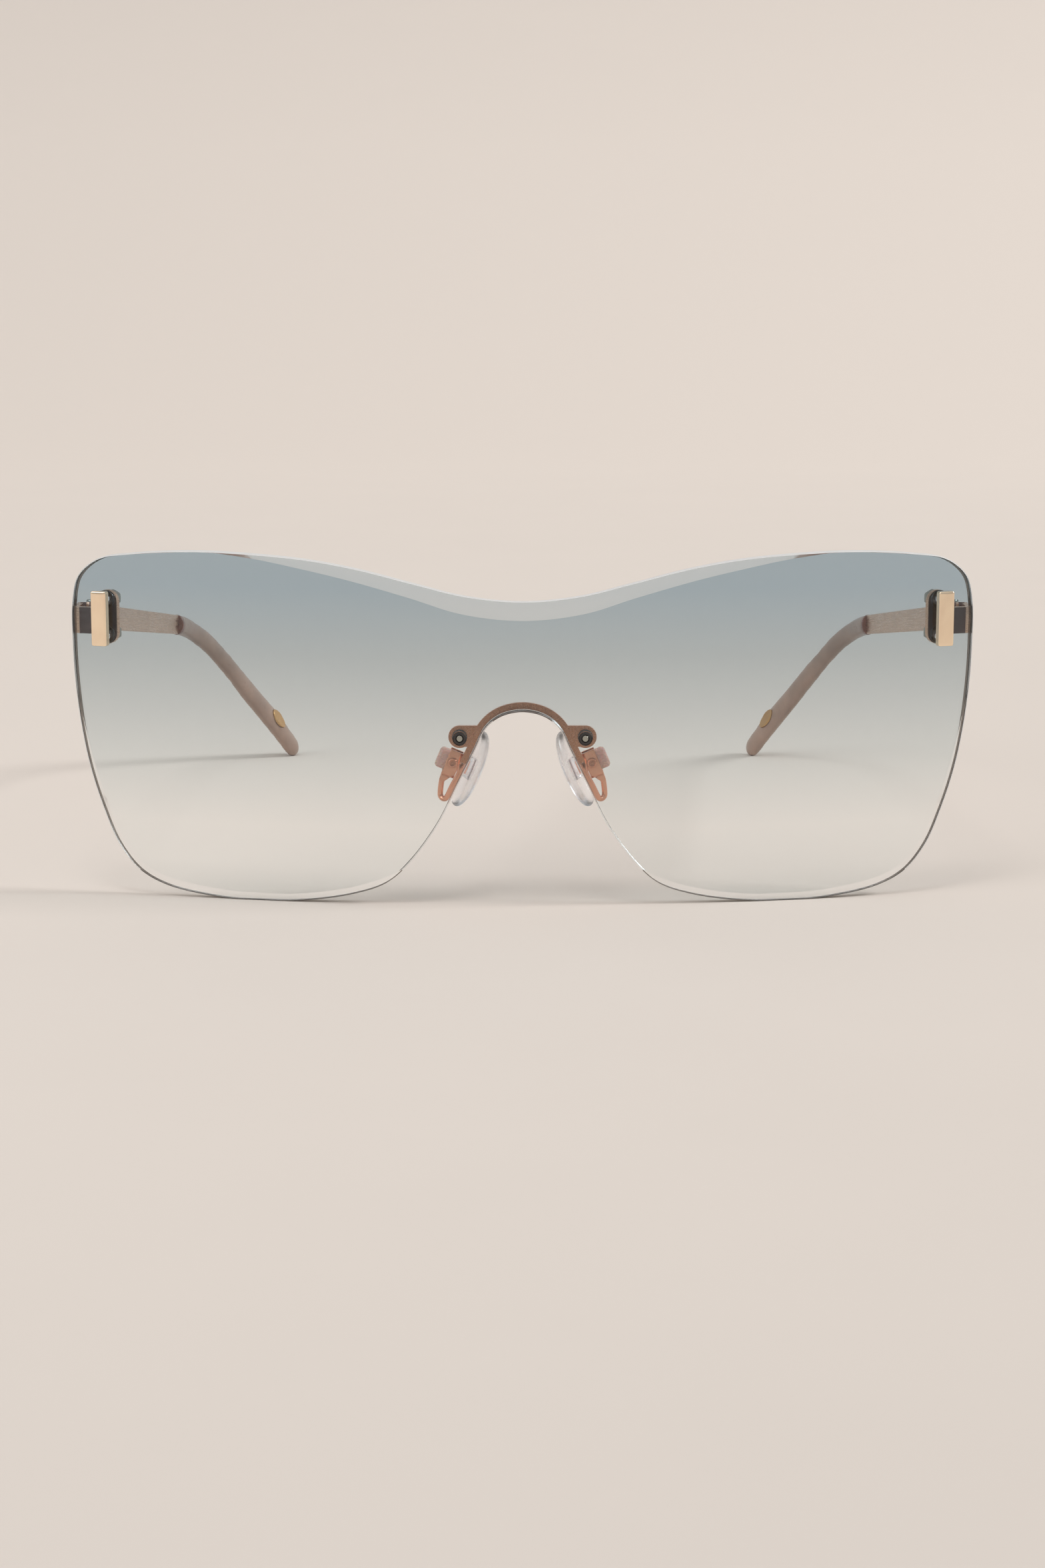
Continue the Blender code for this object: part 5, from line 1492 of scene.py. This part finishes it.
class EYEWEAR_OT_tip_collars(bpy.types.Operator):
    """Adds the red-brown rings between the temples and their tips."""

    bl_idname = "eyewear.tip_collars"
    bl_label = "Tip Collars"

    def execute(self, context):
        width, height, length = COLLAR_SIZE
        for side, word in SIDES.items():
            ends = (GAP / TIP_LENGTHS[-1], (length + GAP) / TIP_LENGTHS[-1])
            shape = loft([oval_ring(tip_frame(share), height, width) for share in ends])
            collar = new_piece(f"red_ring_{word}", placed(shape, HINGE_FRAME, side))
            round_edges(collar, COLLAR_ROLL, segments=4)
            cut(collar, wire(smooth_curve(core_path()[:3], steps=4), CORE_RADIUS + GAP), HINGE_FRAME, side)
            dress(collar, f"tip_collar_{word}", "red_brown_acetate", red_brown_acetate)
        return {"FINISHED"}


class EYEWEAR_OT_temple_tips(bpy.types.Operator):
    """Adds the tips, which bend down and in and widen to a paddle, and the plates let into them."""

    bl_idname = "eyewear.temple_tips"
    bl_label = "Temple Tips"

    def execute(self, context):
        length, height, thickness = PLAQUE_SIZE
        plaque_place = HINGE_FRAME @ plaque_frame()
        for side, word in SIDES.items():
            tip = new_piece(f"acetate_tip_{word}", placed(loft(self.rings()), HINGE_FRAME, side))
            core = smooth_curve([*core_path(), on_tip(CORE_BORE_SHARE)[0]], steps=4)
            cut(tip, wire(core, CORE_RADIUS + GAP), HINGE_FRAME, side)
            cut(tip, block((0.0, HINGE_Y, -2 * OVERRUN), (STRAP_OUTER_X, 2 * TIP_END_ALONG, 0.0)), side=side)
            recess = sheet(oval(length + 2 * GAP, height + 2 * GAP), PLAQUE_DEPTH + OVERRUN)
            lift = (PLAQUE_DEPTH + OVERRUN) / 2 - PLAQUE_DEPTH
            cut(tip, recess, plaque_place @ Matrix.Translation((0.0, 0.0, lift)), side)
            dress(tip, f"temple_tip_{word}", "taupe_acetate", taupe_acetate, flats=False)
            place = plaque_place @ Matrix.Translation((0.0, 0.0, thickness / 2 - PLAQUE_DEPTH + GAP))
            plate = placed(sheet(oval(length, height), thickness), place, side)
            plaque = new_piece(f"inlaid_plate_{word}", plate)
            round_edges(plaque, PLAQUE_ROLL, segments=3)
            dress(plaque, f"tip_plaque_{word}", "polished_gold_plate", satin_brass)
        return {"FINISHED"}

    def rings(self):
        """A tip's sections: drawn in at the collar, full along the tip, and rounded off at the end."""
        first = (COLLAR_SIZE[2] + 2 * GAP) / TIP_LENGTHS[-1]
        rings = [tip_ring(first + share, scale) for share, scale in TIP_START_SHARES]
        full = first + TIP_FULL_SHARE
        rings += [tip_ring(full + (1.0 - full) * k / TIP_STATIONS, 1.0) for k in range(TIP_STATIONS + 1)]
        for k in range(1, TIP_END_RINGS + 1):
            angle = TIP_END_SWEEP * k / TIP_END_RINGS
            rings.append(tip_ring(1.0, math.cos(angle), math.sin(angle)))
        return rings


class EYEWEAR_OT_nose_bracket(bpy.types.Operator):
    """Adds the flat band round the nose edge with its screw ears, sleeves and screws."""

    bl_idname = "eyewear.nose_bracket"
    bl_label = "Nose Bracket"

    def execute(self, context):
        middle = Matrix.Translation((0.0, BRACKET_MIDDLE, 0.0)) @ UPRIGHT
        right = offset_path(nose_edge(), BRACKET_SETBACK + BRACKET_BAND / 2)
        path = right[:-1] + [Vector((-p.x, p.y)) for p in right[::-1]]
        band = sheet(ribbon(path, BRACKET_BAND), BRACKET_THICKNESS)
        bracket = new_piece("nose_bracket", placed(band, middle))
        low, high = EAR_Z - EAR_WEB_SHARE * EAR_RADIUS, EAR_Z + EAR_RADIUS
        inner = [(right_at(right, height).x, height) for height in (high, low)]
        web = [(EAR_X, low), (EAR_X, high), *inner]
        for side in SIDES:
            join(bracket, rod(EAR_RADIUS, -BRACKET_BACK, -BRACKET_FRONT), EAR_FRAME, side)
            join(bracket, sheet(web, BRACKET_THICKNESS), middle, side)
            cut(bracket, rod(BRACKET_BORE, -BRACKET_BACK - OVERRUN, OVERRUN), EAR_FRAME, side)
        flatten(bracket)
        round_edges(bracket, BRACKET_ROLL, segments=3)
        dress(bracket, "bridge_bracket", "rose_gold_plate", satin_rose_plate)
        for side, word in SIDES.items():
            self.add_fasteners(side, word)
        return {"FINISHED"}

    def add_fasteners(self, side, word):
        """The dark sleeve in the lens, and the screw through the ear from behind."""
        top = -lens_depth(EAR_X) - GAP
        shape = flanged_sleeve(BRACKET_BORE, BRACKET_FLANGE_RADIUS, top, -BRACKET_FLANGE_Y)
        sleeve = new_piece(f"dark_sleeve_{word}", placed(shape, EAR_FRAME, side))
        dress(sleeve, f"bridge_bushing_{word}", "dark_nylon", dark_nylon)
        head_top = BRACKET_BACK + GAP + BRACKET_SCREW_HEAD[1]
        shape = slotted_screw(BRACKET_SCREW_HEAD, SHANK_RADIUS, head_top, -top)
        place = EAR_FRAME @ Matrix.Rotation(math.pi, 4, "X")
        screw = new_piece(f"bracket_screw_{word}", placed(shape, place, side))
        dress(screw, f"bridge_screw_{word}", "bright_steel", turned_steel)


class EYEWEAR_OT_pad_arms(bpy.types.Operator):
    """Adds the bent wires with the folded clips that carry the pads, and the clips' screws."""

    bl_idname = "eyewear.pad_arms"
    bl_label = "Pad Arms"

    def execute(self, context):
        top = CHEEK_OUTER + GAP + CLIP_SCREW_HEAD[1]
        turn = Matrix.Rotation(math.pi / 2, 4, "Z") @ UPRIGHT
        for side, word in SIDES.items():
            clip = sheet(ribbon(self.clip_path(), CLIP_THICKNESS), CLIP_WIDTH)
            arm = new_piece(f"pad_arm_wire_{word}", placed(clip, CLIP_FRAME @ turn, side))
            bore = rod(CLIP_BORE, -OVERRUN - CHEEK_OUTER, CHEEK_OUTER + OVERRUN)
            cut(arm, bore, CLIP_SCREW_FRAME, side)
            flatten(arm)
            join(arm, sheet(self.neck_outline(), 2 * WIRE_RADIUS), CLIP_SCREW_FRAME, side)
            round_edges(arm, ARM_ROLL, segments=3)
            join(arm, wire(self.wire_path(), WIRE_RADIUS), side=side)
            dress(arm, f"pad_arm_{word}", "rose_gold_plate", polished_rose_plate)
            shape = sunk_screw(CLIP_SCREW_HEAD, CLIP_SCREW_RADIUS, top, -CHEEK_OUTER)
            screw = new_piece(f"clip_screw_{word}", placed(shape, CLIP_SCREW_FRAME, side))
            dress(screw, f"pad_screw_{word}", "rose_gold_plate", polished_rose_plate)
        return {"FINISHED"}

    def clip_path(self):
        cheek = (CHEEK_INNER + CHEEK_OUTER) / 2
        fold = -CLIP_BELOW + CLIP_THICKNESS / 2
        top, corner, middle = Vector((-cheek, CLIP_ABOVE)), Vector((-cheek, fold)), Vector((0.0, fold))
        front = filleted(top, corner, middle, CLIP_BEND_RADIUS, steps=8)
        return front[:-1] + [Vector((-p.x, p.y)) for p in front[-2::-1]]

    def neck_outline(self):
        """The clip's lower end, drawn in to the wire."""
        top, fold, bottom = CLIP_THICKNESS - CLIP_BELOW, -CLIP_BELOW, -CLIP_BELOW - NECK_LENGTH
        half, centre = CLIP_WIDTH / 2 - CLIP_BEND_RADIUS / 2, CLIP_WIDTH / 4
        foot = WIRE_RADIUS * NECK_FOOT_SHARE
        waist = (-half * NECK_WAIST_SHARE, fold - NECK_WAIST_DROP)
        left = [(-half, top), waist, (centre - foot, bottom)]
        return left + [(centre + foot, bottom), (half, fold - NECK_SHOULDER_DROP), (half, top)]

    def wire_path(self):
        """The wire's middle line, from just under the bracket's leg to inside the clip's fold."""
        leg, above = offset_path(nose_edge(), BRACKET_SETBACK + BRACKET_BAND / 2)[:2]
        down = (leg - above).normalized()
        points = []
        for gap in (GAP, GAP + WIRE_RADIUS):
            place = leg + down * gap
            points.append(Vector((place.x, BRACKET_MIDDLE, place.y)))
        points += [CLIP_PLACE + Vector(shares) * CLIP_HEIGHT for shares in WIRE_DOWN_SHARES]
        centre = CLIP_PLACE + Vector(WIRE_BEND_SHARES) * CLIP_HEIGHT
        outward = Vector((math.cos(WIRE_BEND_YAW), math.sin(WIRE_BEND_YAW), 0.0)) * WIRE_BEND_RADIUS
        downward = Vector((0.0, 0.0, -WIRE_BEND_RADIUS))
        for k in range(WIRE_BEND_POINTS):
            angle = WIRE_BEND_START + (math.pi - WIRE_BEND_START) * k / (WIRE_BEND_POINTS - 1)
            points.append(centre - outward * math.cos(angle) + downward * math.sin(angle))
        for height in (-CLIP_BELOW - WIRE_BEND_RADIUS, -CLIP_BELOW + WIRE_SINK):
            points.append(CLIP_FRAME @ Vector((CLIP_WIDTH / 4, 0.0, height)))
        return smooth_curve(points, WIRE_STEPS)


class EYEWEAR_OT_nose_pads(bpy.types.Operator):
    """Adds the clear nose pads and the pink cores that they are moulded on."""

    bl_idname = "eyewear.nose_pads"
    bl_label = "Nose Pads"

    def execute(self, context):
        for side, word in SIDES.items():
            tab = self.tab_shape(0.0)
            divide(tab, 0, 0.0)
            core = new_piece(f"pad_core_{word}", placed(tab, CLIP_FRAME, side))
            round_edges(core, CORE_TAB_ROLL, segments=8)
            join(core, self.foot_shape(0.0), LUG_FOOT_FRAME, side)
            cut(core, rod(CLIP_BORE, -OVERRUN, OVERRUN), CLIP_SCREW_FRAME, side)
            dress(core, f"pad_lug_{word}", "pink_polycarbonate", pink_polycarbonate, clear_polycarbonate)
            inward = CLIP_FRAME.inverted() @ Matrix.Translation((0.0, -APEX_Y, 0.0))
            mirrored = inward @ MIRROR if side < 0 else inward
            paint(core, 1, lambda centre, normal: (mirrored @ centre).x < -CLIP_WIDTH / 4)
            pad = new_piece(f"silicone_pad_{word}", placed(self.pad_shape(), PAD_FRAME, side))
            cut(pad, self.foot_shape(GAP), LUG_FOOT_FRAME, side)
            cut(pad, self.tab_shape(GAP), CLIP_FRAME, side)
            dress(pad, f"nose_pad_{word}", "clear_silicone", clear_silicone, flats=False)
        return {"FINISHED"}

    def tab_shape(self, margin):
        """The core's tab in the clip, in the clip's frame."""
        thickness, height = LUG_SIZE
        across, along = thickness / 2 + margin, height / 2 + margin
        return block((-LUG_INNER, -across, -along), (LUG_REACH, across, along))

    def foot_shape(self, margin):
        """The core's foot in its own frame: X toward the nose, Y across the pad, Z along it."""
        thickness, width, length = LUG_FOOT
        across, along = width / 2 + margin, length / 2 + margin
        return block((-margin, -across, -along), (thickness + margin, across, along))

    def pad_shape(self):
        """A domed drop shape, flatter behind."""
        shape = bmesh.new()
        bmesh.ops.create_uvsphere(shape, u_segments=64, v_segments=40, radius=1.0)
        for vert in shape.verts:
            across = math.copysign(abs(vert.co.y) ** PAD_SQUARENESS, vert.co.y)
            along = math.copysign(abs(vert.co.z) ** PAD_SQUARENESS, vert.co.z)
            thick = PAD_DOME if vert.co.x > 0 else PAD_BACK
            vert.co = (vert.co.x * thick, across * PAD_WIDTH / 2, along * PAD_LENGTH / 2)
        return shape


class EYEWEAR_OT_stage(bpy.types.Operator):
    """Adds the seamless paper, the lamps and the camera."""

    bl_idname = "eyewear.stage"
    bl_label = "Stage"

    def execute(self, context):
        settings = context.scene.stage_settings
        self.add_paper(settings)
        self.add_world(context, settings)
        for name, (power, size, place) in LAMPS.items():
            self.add_lamp(context, name, getattr(settings, power), size, place)
        self.add_camera(context, settings)
        context.scene.view_settings.view_transform = "Standard"
        return {"FINISHED"}

    def add_paper(self, settings):
        """Paper that runs under the sunglasses and bends up behind them."""
        bend = arc((PAPER_BACK, PAPER_BEND), PAPER_BEND, -math.pi / 2, 0.0, steps=24)
        line = [(PAPER_FRONT, 0.0), *bend, (PAPER_BACK + PAPER_BEND, PAPER_RISE)]
        shape = bmesh.new()
        rows = [[shape.verts.new((x, y, z)) for y, z in line] for x in (-PAPER_HALF_WIDTH, PAPER_HALF_WIDTH)]
        for k in range(len(line) - 1):
            shape.faces.new((rows[0][k], rows[1][k], rows[1][k + 1], rows[0][k + 1]))
        paper = new_piece("paper_backdrop", shape)
        paper.data.shade_smooth()
        material, tree, shader = new_finish("Paper, seamless and matte", None, {"Roughness": 0.9})
        along = along_axis(tree, "Object", "Y", PAPER_TONE_SPAN, (0.0, 1.0))
        clouds = {0: grain(tree, PAPER_CLOUD_MM, detail=2.0), 1: PAPER_CLOUD_SHARE, 2: along}
        at = add_node(tree, "ShaderNodeMath", clouds, operation="MULTIPLY_ADD").outputs["Value"]
        tones = [(place, shade(settings.paper, part)) for place, part in PAPER_TONES]
        tone = blend_colours(tree, at, *tones)
        tree.links.new(tone, shader.inputs["Base Color"])
        paper.data.materials.append(material)

    def add_world(self, context, settings):
        """Light from all round, paler above and behind the sunglasses than below and in front of them."""
        world = bpy.data.worlds.new("Soft studio")
        world.use_nodes = True
        tree = world.node_tree
        height = along_axis(tree, "Generated", "Z", *WORLD_HEIGHT)
        back = along_axis(tree, "Generated", "Y", *WORLD_BACK)
        both = add_node(tree, "ShaderNodeMath", {0: back, 1: height}, operation="ADD").outputs["Value"]
        tones = [(at, [part] * 3) for at, part in WORLD_TONES]
        background = tree.nodes["Background"]
        tree.links.new(blend_colours(tree, both, *tones), background.inputs["Color"])
        background.inputs["Strength"].default_value = settings.world
        context.scene.world = world

    def add_lamp(self, context, name, power, size, place):
        """A square lamp that shines at the sunglasses."""
        lamp = bpy.data.lights.new(name, "AREA")
        lamp.energy = power
        lamp.size = size
        holder = bpy.data.objects.new(name, lamp)
        holder.location = place
        holder.rotation_euler = (-Vector(place)).to_track_quat("-Z", "Y").to_euler()
        context.scene.collection.objects.link(holder)

    def add_camera(self, context, settings):
        pitch = math.radians(settings.pitch)
        forward = Vector((0.0, math.cos(pitch), -math.sin(pitch)))
        data = bpy.data.cameras.new("photo_camera")
        data.lens = settings.focal_length
        data.sensor_width = 36.0
        data.clip_start = 0.01
        camera = bpy.data.objects.new("photo_camera", data)
        camera.location = CAMERA_PLACE
        camera.rotation_euler = forward.to_track_quat("-Z", "Y").to_euler()
        context.scene.collection.objects.link(camera)
        context.scene.camera = camera


class EYEWEAR_PT_pieces(bpy.types.Panel):
    """Lists the pieces and the stage."""

    bl_label = "Sunglasses"
    bl_space_type = "VIEW_3D"
    bl_region_type = "UI"
    bl_category = "Eyewear"

    def draw(self, context):
        for operator in OPERATORS:
            self.layout.operator(operator.bl_idname)
        for group in SETTINGS:
            for name in SETTINGS[group].__annotations__:
                self.layout.prop(getattr(context.scene, group), name)


OPERATORS = (
    EYEWEAR_OT_shield_lens,
    EYEWEAR_OT_gold_bars,
    EYEWEAR_OT_bar_fasteners,
    EYEWEAR_OT_endpieces,
    EYEWEAR_OT_pivot_screws,
    EYEWEAR_OT_temples,
    EYEWEAR_OT_tip_collars,
    EYEWEAR_OT_temple_tips,
    EYEWEAR_OT_nose_bracket,
    EYEWEAR_OT_pad_arms,
    EYEWEAR_OT_nose_pads,
    EYEWEAR_OT_stage,
)
SETTINGS = {
    "lens_settings": LensSettings,
    "metal_settings": MetalSettings,
    "plastic_settings": PlasticSettings,
    "stage_settings": StageSettings,
}


def register():
    for item in (*SETTINGS.values(), *OPERATORS, EYEWEAR_PT_pieces):
        bpy.utils.register_class(item)
    for group, kind in SETTINGS.items():
        setattr(bpy.types.Scene, group, PointerProperty(type=kind))


def unregister():
    for group in SETTINGS:
        delattr(bpy.types.Scene, group)
    for item in (EYEWEAR_PT_pieces, *reversed(OPERATORS), *reversed(SETTINGS.values())):
        bpy.utils.unregister_class(item)


def main():
    register()
    for operator in OPERATORS:
        group, name = operator.bl_idname.split(".")
        getattr(getattr(bpy.ops, group), name)()
    bpy.context.view_layer.update()


if __name__ == "__main__":
    main()
